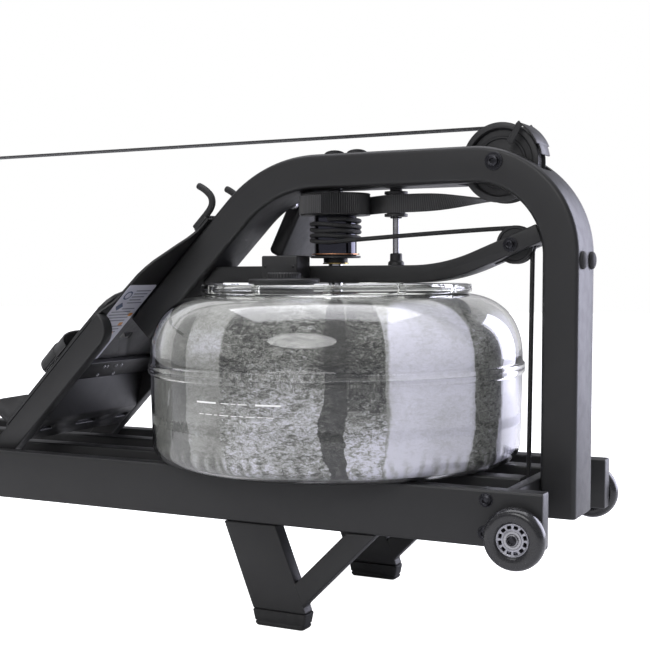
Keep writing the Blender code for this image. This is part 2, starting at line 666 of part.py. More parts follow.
def make_idler():
    base = CROSSMEMBER_TOP_DZ + GAP
    centre = at(IDLER_DX, IDLER_Y, 0)
    post = 0.0048
    end = ARCH_UNDERSIDE_DZ - GAP
    shaft = [(0.0, base), (0.0110, base), (0.0105, base + 0.004), (0.0088, base + 0.0045),
             (0.0088, base + 0.013), (post, base + 0.014), (post, 0.3350), (0.0080, 0.3350), (0.0080, 0.3368),
             (post, 0.3368), (post, 0.3722), (0.0080, 0.3722), (0.0080, end), (0.0, end)]
    lathe("idler_shaft", shaft, (0, 0, 1), centre, STEEL, 16)
    core = IDLER_BELT_RADIUS - BELT_THICKNESS / 2 - GAP
    bore = post + GAP
    roller = [(bore, 0.3372), (0.0160, 0.3372), (0.0160, 0.3402), (core, 0.3406), (core, 0.3684),
              (0.0160, 0.3688), (0.0160, 0.3718), (bore, 0.3718)]
    lathe("idler_roller", roller, (0, 0, 1), centre, BLACK_PLASTIC, 20)


def grooved(rim, groove, half_width, half_groove, bore):
    """Profile of a pulley with a round groove for the cord."""
    profile = [(bore, -half_width), (rim, -half_width)]
    for step in range(5):
        angle = math.pi * step / 4
        profile.append((rim - (rim - groove) * math.sin(angle), -half_groove * math.cos(angle)))
    return profile + [(rim, half_width), (bore, half_width)]


def make_pulleys():
    bore = PULLEY_AXLE_RADIUS + GAP
    core = TOP_BELT_RADIUS - BELT_THICKNESS / 2 - GAP
    rim = TOP_PULLEY_RADIUS
    wheel = [(bore, -0.0165), (0.014, -0.0165), (0.016, -0.0150), (rim, -0.0165), (rim, -0.0140),
             (core, -0.0132)]
    profile = wheel + [(radius, -height) for radius, height in wheel[::-1]]
    lathe("top_pulley", profile, (0, 1, 0), at(TOP_PULLEY_DX, 0, TOP_PULLEY_DZ), BLACK_PLASTIC, 28)
    profile = grooved(BUNGEE_PULLEY_RADIUS, BUNGEE_CORD_RADIUS - CORD_RADIUS - 2 * GAP, 0.008, 0.0056, bore)
    lathe("bungee_pulley", profile, (0, 1, 0), at(BUNGEE_PULLEY_DX, 0, BUNGEE_PULLEY_DZ), BLACK_PLASTIC, 24)
    axles = (("top_pulley_axle", TOP_PULLEY_DX, TOP_PULLEY_DZ, ARCH_WIDTH),
             ("bungee_pulley_axle", BUNGEE_PULLEY_DX, BUNGEE_PULLEY_DZ, CROSSMEMBER_WIDTH))
    for name, dx, dz, width in axles:
        head = width / 2 + GAP
        shank = PULLEY_AXLE_RADIUS
        half = [(0.0, head + 0.0085), (0.0055, head + 0.0085), (0.0085, head + 0.0060),
                (0.0085, head + 0.0018), (0.0115, head + 0.0016), (0.0115, head), (shank, head)]
        profile = half + [(radius, -height) for radius, height in half[::-1]]
        lathe(name, profile[::-1], (0, 1, 0), at(dx, 0, dz), STEEL, 16)
    groove = LOWER_CORD_RADIUS - CORD_RADIUS - 2 * GAP
    half = INNER_RAIL_Y - INNER_RAIL_WIDTH / 2 - GAP
    wheel = grooved(LOWER_PULLEY_RADIUS, groove, 0.008, 0.0056, 0.006)
    profile = [(0.0, -half), (0.006, -half)] + wheel + [(0.006, half), (0.0, half)]
    lathe("lower_pulley", profile, (0, 1, 0), at(LOWER_PULLEY_DX, 0, LOWER_PULLEY_DZ), BLACK_PLASTIC, 20)


def make_belt_guard():
    """A bent strap over the top pulley that keeps the belt on it."""
    inner, outer = TOP_PULLEY_RADIUS + 0.0030, TOP_PULLEY_RADIUS + 0.0055
    centre = (RAIL_FRONT + TOP_PULLEY_DX, RAIL_TOP + TOP_PULLEY_DZ)

    def bent_plate(name, start, end, steps, half_width):
        outline = []
        for radius, numbers in ((inner, range(steps + 1)), (outer, range(steps, -1, -1))):
            for number in numbers:
                angle = math.radians(start + (end - start) * number / steps)
                outline.append((centre[0] + radius * math.cos(angle), centre[1] + radius * math.sin(angle)))
        return prism(name, outline, -half_width, half_width, BLACK_PAINT)

    guard = bent_plate("belt_guard", 22, 58, 4, 0.0275)
    join_solid(guard, bent_plate("belt_guard_tongue", 8, 26, 2, 0.0185), "UNION")
    for index, sign in enumerate((-1, 1)):
        ys = sorted((sign * 0.0245, sign * 0.0275))
        foot = [at(-0.0985, 0, ARCH_TOP_DZ + GAP), at(-0.0800, 0, 0.4203)]
        ear = [(foot[0].x, foot[0].z), (foot[1].x, foot[1].z)]
        for angle in (40, 56):
            ear.append((centre[0] + outer * 0.995 * math.cos(math.radians(angle)),
                        centre[1] + outer * 0.995 * math.sin(math.radians(angle))))
        side = prism(f"belt_guard_ear_{index}", ear, ys[0], ys[1], BLACK_PAINT)
        join_solid(guard, side, "UNION")


def belt_strip(name, stations, origin):
    """A flat belt through (centre, width direction, face direction) stations."""
    rings = []
    for centre, across, face in stations:
        across = Vector(across).normalized() * BELT_WIDTH / 2
        face = Vector(face).normalized() * BELT_THICKNESS / 2
        rings.append([centre - across - face, centre + across - face, centre + across + face,
                      centre - across + face])
    return bridge(name, rings, WEBBING, origin, 60)


def make_belt():
    up = (0, 0, 1)
    drum = Vector((TANK_DX, 0.0))
    idler = Vector((IDLER_DX, IDLER_Y))
    reach = (idler - drum).length
    lead = math.atan2(idler.y - drum.y, idler.x - drum.x)
    heading = lead - math.asin((DRUM_BELT_RADIUS + IDLER_BELT_RADIUS) / reach)
    leave = math.degrees(heading) + 90
    stations = []
    for step in range(17):
        angle = math.radians(leave + 220 - 220 * step / 16)
        out = Vector((math.cos(angle), math.sin(angle), 0))
        centre = at(drum.x, drum.y, BELT_LOW_DZ) + out * DRUM_BELT_RADIUS
        stations.append((centre, up, out))
    for step in range(4):
        angle = math.radians(leave - 180 - (leave - 90) * step / 3)
        out = Vector((math.cos(angle), math.sin(angle), 0))
        centre = at(idler.x, idler.y, BELT_LOW_DZ) + out * IDLER_BELT_RADIUS
        stations.append((centre, up, -out))
    start = at(IDLER_DX + 0.006, 0, BELT_LOW_DZ)
    end = at(TOP_PULLEY_DX, 0, TOP_PULLEY_DZ - TOP_BELT_RADIUS)
    for step in range(1, 13):
        part = step / 12
        twist = math.pi / 2 * part * part * (3 - 2 * part)
        across = (0, -math.sin(twist), math.cos(twist))
        face = (0, math.cos(twist), math.sin(twist))
        stations.append((start.lerp(end, part), across, face))
    for step in range(1, 17):
        angle = math.radians(-90 + 180 * step / 16)
        out = Vector((math.cos(angle), 0, math.sin(angle)))
        centre = at(TOP_PULLEY_DX, 0, TOP_PULLEY_DZ) + out * TOP_BELT_RADIUS
        stations.append((centre, (0, -1, 0), -out))
    belt_strip("drive_belt_wrap", stations, at(TOP_PULLEY_DX, 0, TOP_PULLEY_DZ))
    level = TOP_PULLEY_DZ + TOP_BELT_RADIUS
    front = TOP_PULLEY_DX - GAP
    rear = HANDLE_DX + CLEVIS_LENGTH + GAP
    stations = []
    for step in range(9):
        stations.append((at(front + (rear - front) * step / 8, 0, level), (0, 1, 0), (0, 0, 1)))
    belt_strip("drive_belt_run", stations, at(TOP_PULLEY_DX, 0, level))


def make_cord():
    """The return cord: round the spool, over the fork pulley, down, and back under the tank to its anchor."""
    turns, per_turn = 4, 13
    span = Vector((BUNGEE_PULLEY_DX - TANK_DX, 0.0)).length
    lean = math.asin(CORD_COIL_RADIUS / span)
    leave = -math.pi / 2 + lean
    points = []
    for step in range(turns * per_turn + 1):
        angle = leave + 2 * math.pi * (step / per_turn - turns)
        height = CORD_COIL_LOW_DZ + CORD_COIL_PITCH * (turns - step / per_turn)
        points.append(at(TANK_DX + CORD_COIL_RADIUS * math.cos(angle), CORD_COIL_RADIUS * math.sin(angle),
                         height))
    rise = BUNGEE_PULLEY_DZ + BUNGEE_CORD_RADIUS
    for part in (0.12, 0.35, 0.60, 0.85):
        last = points[turns * per_turn]
        goal = at(BUNGEE_PULLEY_DX, 0, rise)
        ease = 1 - (1 - part) ** 1.2
        point = last.lerp(goal, part)
        point.z = last.z + (goal.z - last.z) * ease
        points.append(point)
    for step in range(8):
        angle = math.radians(90 - 89 * step / 7)
        points.append(at(BUNGEE_PULLEY_DX + BUNGEE_CORD_RADIUS * math.cos(angle), 0,
                         BUNGEE_PULLEY_DZ + BUNGEE_CORD_RADIUS * math.sin(angle)))
    for step in range(8):
        angle = math.radians(-90 * step / 7)
        points.append(at(LOWER_PULLEY_DX + LOWER_CORD_RADIUS * math.cos(angle), 0,
                         LOWER_PULLEY_DZ + LOWER_CORD_RADIUS * math.sin(angle)))
    for dx in (-0.30, -0.70, -1.10, -1.45, CORD_ANCHOR_DX + 0.012 + GAP):
        points.append(at(dx, 0, LOWER_PULLEY_DZ - LOWER_CORD_RADIUS))
    tube("bungee_cord", points, CORD_RADIUS, BLACK_RUBBER, at(TANK_DX, 0, CORD_COIL_LOW_DZ))
    anchor_z = LOWER_PULLEY_DZ - LOWER_CORD_RADIUS
    half = INNER_RAIL_Y - INNER_RAIL_WIDTH / 2 - GAP
    box("cord_anchor", at(CORD_ANCHOR_DX - 0.012, -half, anchor_z - 0.003),
        at(CORD_ANCHOR_DX + 0.012, half, -0.012), STEEL, edge=0.001)


# ---------------------------------------------------------------- handle, seat, wheels and console
def make_handle():
    level = TOP_PULLEY_DZ + TOP_BELT_RADIUS
    centre = at(HANDLE_DX, 0, level)
    bar = [(0.0, -HANDLE_HALF_WIDTH), (HANDLE_RADIUS, -HANDLE_HALF_WIDTH),
           (HANDLE_RADIUS, HANDLE_HALF_WIDTH), (0.0, HANDLE_HALF_WIDTH)]
    lathe("handle_bar", bar, (0, 1, 0), centre, STEEL, 24)
    inner = HANDLE_RADIUS + GAP
    for side, sign in SIDES:
        end = HANDLE_HALF_WIDTH + 0.010
        start = end - GRIP_LENGTH
        mid = (start + end) / 2
        outer = [(inner, start), (GRIP_RADIUS - 0.001, start), (GRIP_RADIUS, start + 0.002),
                 (GRIP_RADIUS + 0.001, mid), (GRIP_RADIUS, end - 0.004), (GRIP_RADIUS - 0.002, end), (0.0, end),
                 (0.0, HANDLE_HALF_WIDTH + GAP), (inner, HANDLE_HALF_WIDTH + GAP)]
        lathe(f"grip_{side}", outer, (0, sign, 0), centre, BLACK_RUBBER, 16)
    x, z = centre.x, centre.z
    inner_radius, outer_radius = HANDLE_RADIUS + GAP, HANDLE_RADIUS + 0.0045
    outline = []
    for step in range(17):
        angle = math.radians(20 + 320 * step / 16)
        outline.append((x + outer_radius * math.cos(angle), z + outer_radius * math.sin(angle)))
    tongue = [(x + CLEVIS_LENGTH, z - 0.0045), (x + CLEVIS_LENGTH, z + 0.0045)]
    clevis = prism("belt_clevis", outline + tongue, -0.017, 0.017, BLACK_PAINT, centre)
    bore = cylinder_tool("clevis_bore", centre, (0, 1, 0), inner_radius, 0.06)
    join_solid(clevis, bore, "DIFFERENCE")


def make_seat():
    base = CARRIAGE_DZ
    half_x, half_y = 0.100, 0.078
    wheel_z = SEAT_WHEEL_RADIUS + GAP
    plate = box("seat_carriage", at(SEAT_DX - half_x, -half_y, base),
                at(SEAT_DX + half_x, half_y, base + 0.005), STEEL)
    for index, sign in enumerate((-1, 1)):
        ys = sorted((sign * half_y, sign * (half_y - 0.005)))
        cheek = box(f"carriage_cheek_{index}", at(SEAT_DX - half_x, ys[0], 0.006),
                    at(SEAT_DX + half_x, ys[1], base + 0.0025), STEEL)
        join_solid(plate, cheek, "UNION")
    for index, sign in enumerate((-1, 1)):
        hole = cylinder_tool(f"carriage_hole_{index}", at(SEAT_DX + sign * SEAT_WHEEL_REACH, 0, wheel_z),
                             (0, 1, 0), 0.0053, 0.20)
        join_solid(plate, hole, "DIFFERENCE")
    for name, sign in (("front", 1), ("rear", -1)):
        rim, axle, end = SEAT_WHEEL_RADIUS, 0.005, 0.084
        half = [(axle, 0.0395), (rim - 0.002, 0.0395), (rim, 0.0415), (rim, 0.0585),
                (rim - 0.002, 0.0605), (axle, 0.0605), (axle, end), (0.0, end)]
        profile = [(radius, -height) for radius, height in half[::-1]] + half
        centre = at(SEAT_DX + sign * SEAT_WHEEL_REACH, 0, wheel_z)
        lathe(f"seat_wheels_{name}", profile, (0, 1, 0), centre, BLACK_PLASTIC, 16)
    low = base + 0.005 + GAP
    outline = rounded_section(SEAT_LENGTH, SEAT_WIDTH, 0.070, 5)
    rings = []
    for height, inset in ((0.0, 0.010), (0.010, 0.0), (SEAT_THICKNESS - 0.012, 0.0), (SEAT_THICKNESS, 0.014)):
        shrink_x = (SEAT_LENGTH - 2 * inset) / SEAT_LENGTH
        shrink_y = (SEAT_WIDTH - 2 * inset) / SEAT_WIDTH
        rings.append([at(SEAT_DX + x * shrink_x, y * shrink_y, low + height) for x, y in outline])
    bridge("seat_pad", rings, BLACK_RUBBER, at(SEAT_DX, 0, low))


def make_wheels():
    half = WHEEL_WIDTH / 2
    bore = 0.0043
    tyre = []
    for step in range(5):
        angle = math.pi * step / 4
        tyre.append((0.0265 + (WHEEL_RADIUS - 0.0265) * math.sin(angle) ** 0.8, -half * math.cos(angle)))
    wheel = [(bore, -0.0100), (0.0120, -0.0100), (0.0120, -0.0085), (0.0230, -0.0085)] + tyre
    wheel += [(0.0230, 0.0085), (0.0120, 0.0085), (0.0120, 0.0100), (bore, 0.0100)]
    for side, sign in SIDES:
        centre = at(WHEEL_DX, sign * WHEEL_Y, WHEEL_DZ)
        lathe(f"wheel_{side}", wheel, (0, sign, 0), centre, BLACK_RUBBER, 24)
        root = -(WHEEL_Y - RAIL_OUTER_Y) + GAP
        axle = [(0.0, root), (0.0085, root), (0.0085, -0.0103), (0.0040, -0.0103), (0.0040, 0.0103),
                (0.0065, 0.0103), (0.0065, 0.0135), (0.0, 0.0135)]
        lathe(f"wheel_axle_{side}", axle, (0, sign, 0), centre, STEEL, 16)


def make_monitor():
    """The console beside the arch, tilting on a rod that is fixed to the arch's side."""
    pivot = at(MONITOR_DX, 0, MONITOR_DZ)
    along = Vector((math.cos(MONITOR_TILT), 0, math.sin(MONITOR_TILT)))
    face = Vector((-math.sin(MONITOR_TILT), 0, math.cos(MONITOR_TILT)))
    outline = rounded_section(0.112, 0.024, 0.007, 3)
    middle = -0.026
    corners = [pivot + along * (middle + a) + face * b for a, b in outline]
    body = prism("monitor", [(c.x, c.z) for c in corners], MONITOR_Y, MONITOR_Y + MONITOR_WIDTH, BLACK_PLASTIC,
                 pivot + Vector((0, MONITOR_Y, 0)))
    hole = cylinder_tool("monitor_bore", pivot + Vector((0, MONITOR_Y, 0)), (0, 1, 0), 0.005 + GAP, 0.080)
    join_solid(body, hole, "DIFFERENCE")
    side = ARCH_WIDTH / 2 + GAP
    rod = [(0.0, side), (0.0070, side), (0.0070, MONITOR_Y - 0.002), (0.005, MONITOR_Y - 0.002),
           (0.005, MONITOR_Y + 0.038), (0.0, MONITOR_Y + 0.038)]
    lathe("monitor_arm", rod, (0, 1, 0), pivot, STEEL, 16)


def make_sensor_box():
    front = CROSSMEMBER_WIDTH / 2 + GAP
    box("sensor_box", at(-0.433, -0.065, 0.2545), at(-0.377, -front, 0.2845), BLACK_PLASTIC, edge=0.0015)


clear_scene()
make_rails()
make_cross_tubes()
make_arch()
make_crossmember()
make_front_legs()
make_rear_leg()
make_feet()
make_foot_frame()
make_footboard()
make_heel_cups()
make_foot_straps()
make_handle_hooks()
make_tank()
make_impeller()
make_drum_and_spool()
make_idler()
make_pulleys()
make_belt_guard()
make_belt()
make_cord()
make_handle()
make_seat()
make_wheels()
make_monitor()
make_sensor_box()
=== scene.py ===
"""The rowing machine's visual model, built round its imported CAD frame. Metres, in the CAD's own frame."""

import math

import bmesh
import bpy
from mathutils import Matrix, Vector


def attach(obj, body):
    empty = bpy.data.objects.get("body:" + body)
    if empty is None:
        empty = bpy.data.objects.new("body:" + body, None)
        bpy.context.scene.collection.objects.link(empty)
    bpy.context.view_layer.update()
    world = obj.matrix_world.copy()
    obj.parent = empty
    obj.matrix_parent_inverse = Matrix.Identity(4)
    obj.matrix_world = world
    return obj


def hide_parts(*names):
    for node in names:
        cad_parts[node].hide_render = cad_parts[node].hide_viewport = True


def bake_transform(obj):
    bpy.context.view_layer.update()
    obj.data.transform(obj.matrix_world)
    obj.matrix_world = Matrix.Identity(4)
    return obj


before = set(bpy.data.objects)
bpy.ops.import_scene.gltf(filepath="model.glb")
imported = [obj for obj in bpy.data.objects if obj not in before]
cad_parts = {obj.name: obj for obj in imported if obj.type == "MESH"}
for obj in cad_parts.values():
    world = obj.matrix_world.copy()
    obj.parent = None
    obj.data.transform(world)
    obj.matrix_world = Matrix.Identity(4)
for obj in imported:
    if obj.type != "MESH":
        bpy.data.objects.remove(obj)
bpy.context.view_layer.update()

# ---------------------------------------------------------------- sizes shared with the CAD
GAP = 0.0003
RAIL_FRONT = 1.011
RAIL_REAR = -1.020
RAIL_TOP = 0.207
RAIL_HEIGHT = 0.070
RAIL_OUTER_Y = 0.161
RAIL_INNER_Y = 0.136
INNER_RAIL_Y = 0.050
ARCH_WIDTH = 0.080
ARCH_DEPTH = 0.047
ARCH_TOP = 0.423
ARCH_LEG_PLANE = 0.869
ARCH_POST = -0.0175
TANK = -0.350
TANK_TOP = 0.232
BEAM_LOW = 0.247
BEAM_TOP = 0.2705
TOP_PULLEY = (-0.105, 0.402)
CORD_PULLEY = (-0.087, 0.296)
LOW_PULLEY = (-0.086, -0.028)
BELT_WIDTH = 0.025
BELT_THICKNESS = 0.002
TOP_BELT_RADIUS = 0.0465
DRUM_RADIUS = 0.0488
IDLER = (-0.2638, 0.0141)
BELT_LOW = 0.3545
HANDLE = -1.215
SEAT = -1.320
ROLLER = (0.075, 0.0203)
WHEEL = (-0.029, 0.177, -0.053)
PAD_Y = 0.075
SIDES = (("right", -1), ("left", 1))
ACROSS = (0, 1, 0)
UPRIGHT = (0, 0, 1)


def at(dx, y, dz):
    """A point given from the rails' front ends and top faces."""
    return Vector((RAIL_FRONT + dx, y, RAIL_TOP + dz))


def midway(place):
    """A (dx, dz) place on the machine's middle plane."""
    return at(place[0], 0, place[1])


def slope(along, y, off):
    """A point of the foot station: along runs up the 45 degree board, off stands out towards the rower."""
    root = math.sqrt(2)
    return at((along * root - ARCH_LEG_PLANE) / 2 - off / root, y,
              (along * root + ARCH_LEG_PLANE) / 2 + off / root)


# ---------------------------------------------------------------- materials
class Look:
    """A Principled material that is added to node by node."""

    def __init__(self, name, colour, roughness, metallic=0.0, **sockets):
        self.material = bpy.data.materials.new(name)
        self.material.use_nodes = True
        self.nodes = self.material.node_tree.nodes
        self.links = self.material.node_tree.links
        self.shader = self.nodes["Principled BSDF"]
        self.output = self.nodes["Material Output"]
        values = {"Base Color": (*colour, 1.0), "Roughness": roughness, "Metallic": metallic}
        values.update({key.replace("_", " "): value for key, value in sockets.items()})
        for key, value in values.items():
            self.shader.inputs[key].default_value = value
        self.place = self.add("TexCoord").outputs["Object"]

    def add(self, kind, settings=None, **inputs):
        """A node, with its settings, and its inputs given by name or linked from another node's socket."""
        node = self.nodes.new("ShaderNode" + kind)
        for key, value in (settings or {}).items():
            setattr(node, key, value)
        for key, value in inputs.items():
            socket = node.inputs[int(key[1:])] if key[1:].isdigit() else node.inputs[key.replace("_", " ")]
            self.feed(value, socket)
        return node

    def feed(self, value, socket):
        if isinstance(value, bpy.types.NodeSocket):
            self.links.new(value, socket)
        else:
            socket.default_value = value

    def stretch(self, scale):
        return self.add("Mapping", Vector=self.place, Scale=scale).outputs["Vector"]

    def noise(self, scale, detail=4.0, distortion=0.0, vector=None, roughness=0.5):
        node = self.add("TexNoise", Vector=vector or self.place, Scale=scale, Detail=detail,
                        Distortion=distortion, Roughness=roughness)
        return node.outputs["Fac"]

    def span(self, value, low, high, to_low, to_high):
        return self.add("MapRange", {"interpolation_type": "SMOOTHSTEP"}, Value=value, From_Min=low,
                        From_Max=high, To_Min=to_low, To_Max=to_high).outputs["Result"]

    def maths(self, operation, first, second=0.0):
        return self.add("Math", {"operation": operation}, i0=first, i1=second).outputs["Value"]

    def times(self, first, second):
        return self.maths("MULTIPLY", first, second)

    def plus(self, first, second):
        return self.maths("ADD", first, second)

    def minus(self, first, second):
        return self.maths("SUBTRACT", first, second)

    def ramp(self, value, stops):
        node = self.add("ValToRGB", Fac=value)
        elements = node.color_ramp.elements
        while len(elements) < len(stops):
            elements.new(0.5)
        for element, (position, colour) in zip(elements, stops):
            element.position = position
            element.color = (*colour, 1.0)
        return node.outputs["Color"]

    def colour(self, value):
        self.feed(value, self.shader.inputs["Base Color"])
        return self

    def rough(self, value):
        self.feed(value, self.shader.inputs["Roughness"])
        return self

    def bump(self, height, strength, distance):
        """Adds a layer of bump over any that is there already."""
        before = self.shader.inputs["Normal"].links
        node = self.add("Bump", Height=height, Strength=strength, Distance=distance)
        if before:
            self.links.new(before[0].from_socket, node.inputs["Normal"])
        self.links.new(node.outputs["Normal"], self.shader.inputs["Normal"])
        return self

    def clear_to_lamps(self):
        """Lets lamps light what is inside glass."""
        path = self.add("LightPath").outputs["Is Shadow Ray"]
        clear = self.add("BsdfTransparent", Color=(0.9, 0.9, 0.9, 1.0)).outputs["BSDF"]
        mixed = self.add("MixShader", Fac=path)
        self.links.new(self.shader.outputs["BSDF"], mixed.inputs[1])
        self.links.new(clear, mixed.inputs[2])
        self.links.new(mixed.outputs["Shader"], self.output.inputs["Surface"])
        return self


def shades(grey_low, grey_high, tint=(1.0, 1.0, 1.03)):
    return [(0.0, [grey_low * t for t in tint]), (1.0, [grey_high * t for t in tint])]


def coated(name, low, high, rough_low, rough_high, grain=1300.0, depth=0.00012):
    """Powder coat or moulded plastic: a fine grain, slow changes of shade and faint rubbed patches."""
    look = Look(name, (low, low, low), rough_low)
    slow = look.noise(9.0, 3.0)
    fine = look.noise(grain, 3.0)
    rubbed = look.noise(55.0, 6.0, 0.6)
    shade = look.plus(look.times(slow, 0.6), look.times(fine, 0.4))
    look.colour(look.ramp(shade, shades(low, high, (1.0, 1.0, 1.04))))
    look.rough(look.span(rubbed, 0.35, 0.7, rough_low, rough_high))
    return look.bump(fine, 0.35, depth)


def polyurethane():
    """Smooth tyre with faint scuffs round the tread."""
    look = Look("wheel_tyre", (0.014, 0.014, 0.017), 0.24, Coat_Weight=0.3, Coat_Roughness=0.12)
    scuff = look.noise(240.0, 8.0, 1.2)
    look.colour(look.ramp(look.noise(60.0, 5.0), shades(0.010, 0.019, (1.0, 1.0, 1.12))))
    look.rough(look.span(scuff, 0.4, 0.75, 0.20, 0.34))
    return look.bump(scuff, 0.12, 0.0002)


def metal(name, colour, low, high, streak=(1.0, 1.0, 40.0), scale=60.0):
    look = Look(name, colour, low, 1.0)
    brushed = look.noise(scale, 6.0, 0.0, look.stretch(streak))
    look.rough(look.span(brushed, 0.3, 0.7, low, high))
    dark = [c * 0.82 for c in colour]
    look.colour(look.ramp(look.noise(120.0, 4.0), [(0.0, dark), (1.0, colour)]))
    return look.bump(brushed, 0.08, 0.0001)


def webbing(name="webbing", low=0.012, high=0.034, pitch=0.0021):
    """Woven tape: u runs along it and v across it, in metres."""
    look = Look(name, (0.02, 0.02, 0.021), 0.8, Sheen_Weight=0.15)
    uv = look.add("TexCoord").outputs["UV"]
    split = look.add("SeparateXYZ", Vector=uv)
    along = look.maths("SINE", look.times(split.outputs["X"], 2 * math.pi / pitch))
    across = look.maths("SINE", look.times(split.outputs["Y"], 2 * math.pi / 0.0012))
    weave = look.plus(look.times(along, 0.7), look.times(across, 0.3))
    fluff = look.noise(2500.0, 3.0)
    level = look.plus(look.span(weave, -1.0, 1.0, 0.0, 0.8), look.times(fluff, 0.2))
    look.colour(look.ramp(level, shades(low, high, (1.0, 1.0, 1.03))))
    look.rough(look.span(fluff, 0.3, 0.7, 0.68, 0.88))
    return look.bump(weave, 0.5, 0.0004)


def braid():
    """The cord's woven cover: two crossing spirals; u runs along it in metres and v round it, 0 to 1."""
    look = Look("cord_braid", (0.018, 0.018, 0.019), 0.6)
    split = look.add("SeparateXYZ", Vector=look.add("TexCoord").outputs["UV"])
    along = look.times(split.outputs["X"], 2 * math.pi / 0.004)
    turn = look.times(split.outputs["Y"], 2 * math.pi * 6)
    one = look.maths("SINE", look.plus(along, turn))
    two = look.maths("SINE", look.minus(along, turn))
    weave = look.maths("MAXIMUM", one, two)
    look.colour(look.ramp(look.span(weave, -0.4, 1.0, 0.0, 1.0), shades(0.008, 0.026)))
    look.rough(look.span(look.noise(1500.0), 0.3, 0.7, 0.5, 0.7))
    return look.bump(weave, 0.6, 0.0005)


def vinyl():
    """The seat cover: leather grain with fine creases."""
    look = Look("seat_vinyl", (0.020, 0.020, 0.021), 0.45, Sheen_Weight=0.08)
    cells = look.add("TexVoronoi", {"feature": "DISTANCE_TO_EDGE"}, Vector=look.place,
                     Scale=480.0).outputs["Distance"]
    pores = look.noise(1100.0, 4.0)
    look.colour(look.ramp(look.span(cells, 0.0, 0.3, 0.0, 1.0), shades(0.010, 0.024)))
    look.rough(look.span(pores, 0.3, 0.7, 0.40, 0.58))
    look.bump(look.noise(35.0, 3.0, 0.4), 0.12, 0.001)
    return look.bump(look.span(cells, 0.0, 0.18, 0.0, 1.0), 0.45, 0.0003)


def clear_shell(name, colour, roughness):
    look = Look(name, colour, roughness, Transmission_Weight=1.0, IOR=1.47)
    haze = look.noise(26.0, 6.0, 0.4)
    look.rough(look.span(haze, 0.4, 0.8, roughness, roughness + 0.05))
    return look.clear_to_lamps()


PAINT = coated("powder_coat", 0.010, 0.017, 0.42, 0.48)
PLASTIC = coated("moulded_plastic", 0.014, 0.023, 0.40, 0.55, 900.0, 0.00016)
RUBBER = coated("rubber", 0.012, 0.020, 0.62, 0.78, 700.0, 0.0002)
TYRE = polyurethane()
POLYURETHANE = coated("seat_roller", 0.030, 0.045, 0.38, 0.50)
WEBBING = webbing()
BELT = webbing("belt_webbing", 0.008, 0.060, 0.0031)
DARK_WEBBING = webbing("dark_webbing", 0.006, 0.016)
BRAID = braid()
VINYL = vinyl()
CHROME = metal("chrome", (0.80, 0.80, 0.83), 0.05, 0.13)
STEEL = metal("zinc_steel", (0.46, 0.46, 0.48), 0.24, 0.40)
BLACK_CHROME = metal("black_chrome", (0.085, 0.085, 0.105), 0.05, 0.12)
ALUMINIUM = metal("cast_aluminium", (0.46, 0.46, 0.50), 0.34, 0.50, (1.0, 1.0, 1.0), 300.0)
BLACK_OXIDE = metal("black_oxide", (0.050, 0.050, 0.056), 0.24, 0.40, (1.0, 1.0, 1.0), 400.0)
COPPER = metal("copper", (0.72, 0.36, 0.20), 0.20, 0.35)
BRASS = metal("brass", (0.70, 0.50, 0.18), 0.20, 0.35)


# ---------------------------------------------------------------- mesh tools
def turned_profile(bm, profile, centre, axis, segments, wobble=None, material=0):
    """Turns a closed (radius, height) profile about an axis; wobble(angle, radius, height) adds to radii."""
    turn = Vector(UPRIGHT).rotation_difference(Vector(axis)).to_matrix()
    centre = Vector(centre)
    rings = []
    for step in range(segments):
        angle = 2 * math.pi * step / segments
        ring = []
        for index, (radius, height) in enumerate(profile):
            if radius == 0.0 and rings:
                ring.append(rings[0][index])
                continue
            radius += wobble(angle, radius, height) if wobble else 0.0
            ring.append(bm.verts.new(centre + turn @ Vector((radius * math.cos(angle),
                                                             radius * math.sin(angle), height))))
        rings.append(ring)
    for step in range(segments):
        this, after = rings[step], rings[(step + 1) % segments]
        for index in range(len(profile)):
            follow = (index + 1) % len(profile)
            corners = [this[index], this[follow], after[follow], after[index]]
            corners = [c for n, c in enumerate(corners) if c not in corners[:n]]
            if len(corners) > 2:
                bm.faces.new(corners).material_index = material


def rounded(profile, radius=0.0008, steps=3):
    """The same closed profile with its corners rounded, so that edges catch the light."""
    found = []
    count = len(profile)
    for index, point in enumerate(profile):
        here = Vector(point)
        before, after = Vector(profile[index - 1]), Vector(profile[(index + 1) % count])
        if point[0] == 0.0 or (here - before).length < 1e-7 or (here - after).length < 1e-7:
            found.append(point)
            continue
        reach = min(radius, (before - here).length * 0.4, (after - here).length * 0.4)
        start = here + (before - here).normalized() * reach
        end = here + (after - here).normalized() * reach
        for step in range(steps + 1):
            part = step / steps
            found.append(tuple(start.lerp(here, part).lerp(here.lerp(end, part), part)))
    return found


def bridge(bm, rings, material=0):
    """Skins a row of rings, caps both ends and returns the rings' vertices."""
    loops = [[bm.verts.new(point) for point in ring] for ring in rings]
    for this, after in zip(loops, loops[1:]):
        for index in range(len(this)):
            follow = (index + 1) % len(this)
            corners = [this[index], this[follow], after[follow], after[index]]
            bm.faces.new(corners).material_index = material
    bm.faces.new(loops[0]).material_index = material
    bm.faces.new(loops[-1][::-1]).material_index = material
    return loops


def section(width, depth, corner, steps=4):
    """A rounded rectangle's points as (across, up) pairs."""
    points = []
    for quadrant in range(4):
        side_x = 1 if quadrant in (0, 3) else -1
        side_y = 1 if quadrant in (0, 1) else -1
        for step in range(steps + 1):
            angle = math.pi / 2 * (quadrant + step / steps)
            points.append((side_x * (width / 2 - corner) + corner * math.cos(angle),
                           side_y * (depth / 2 - corner) + corner * math.sin(angle)))
    return points


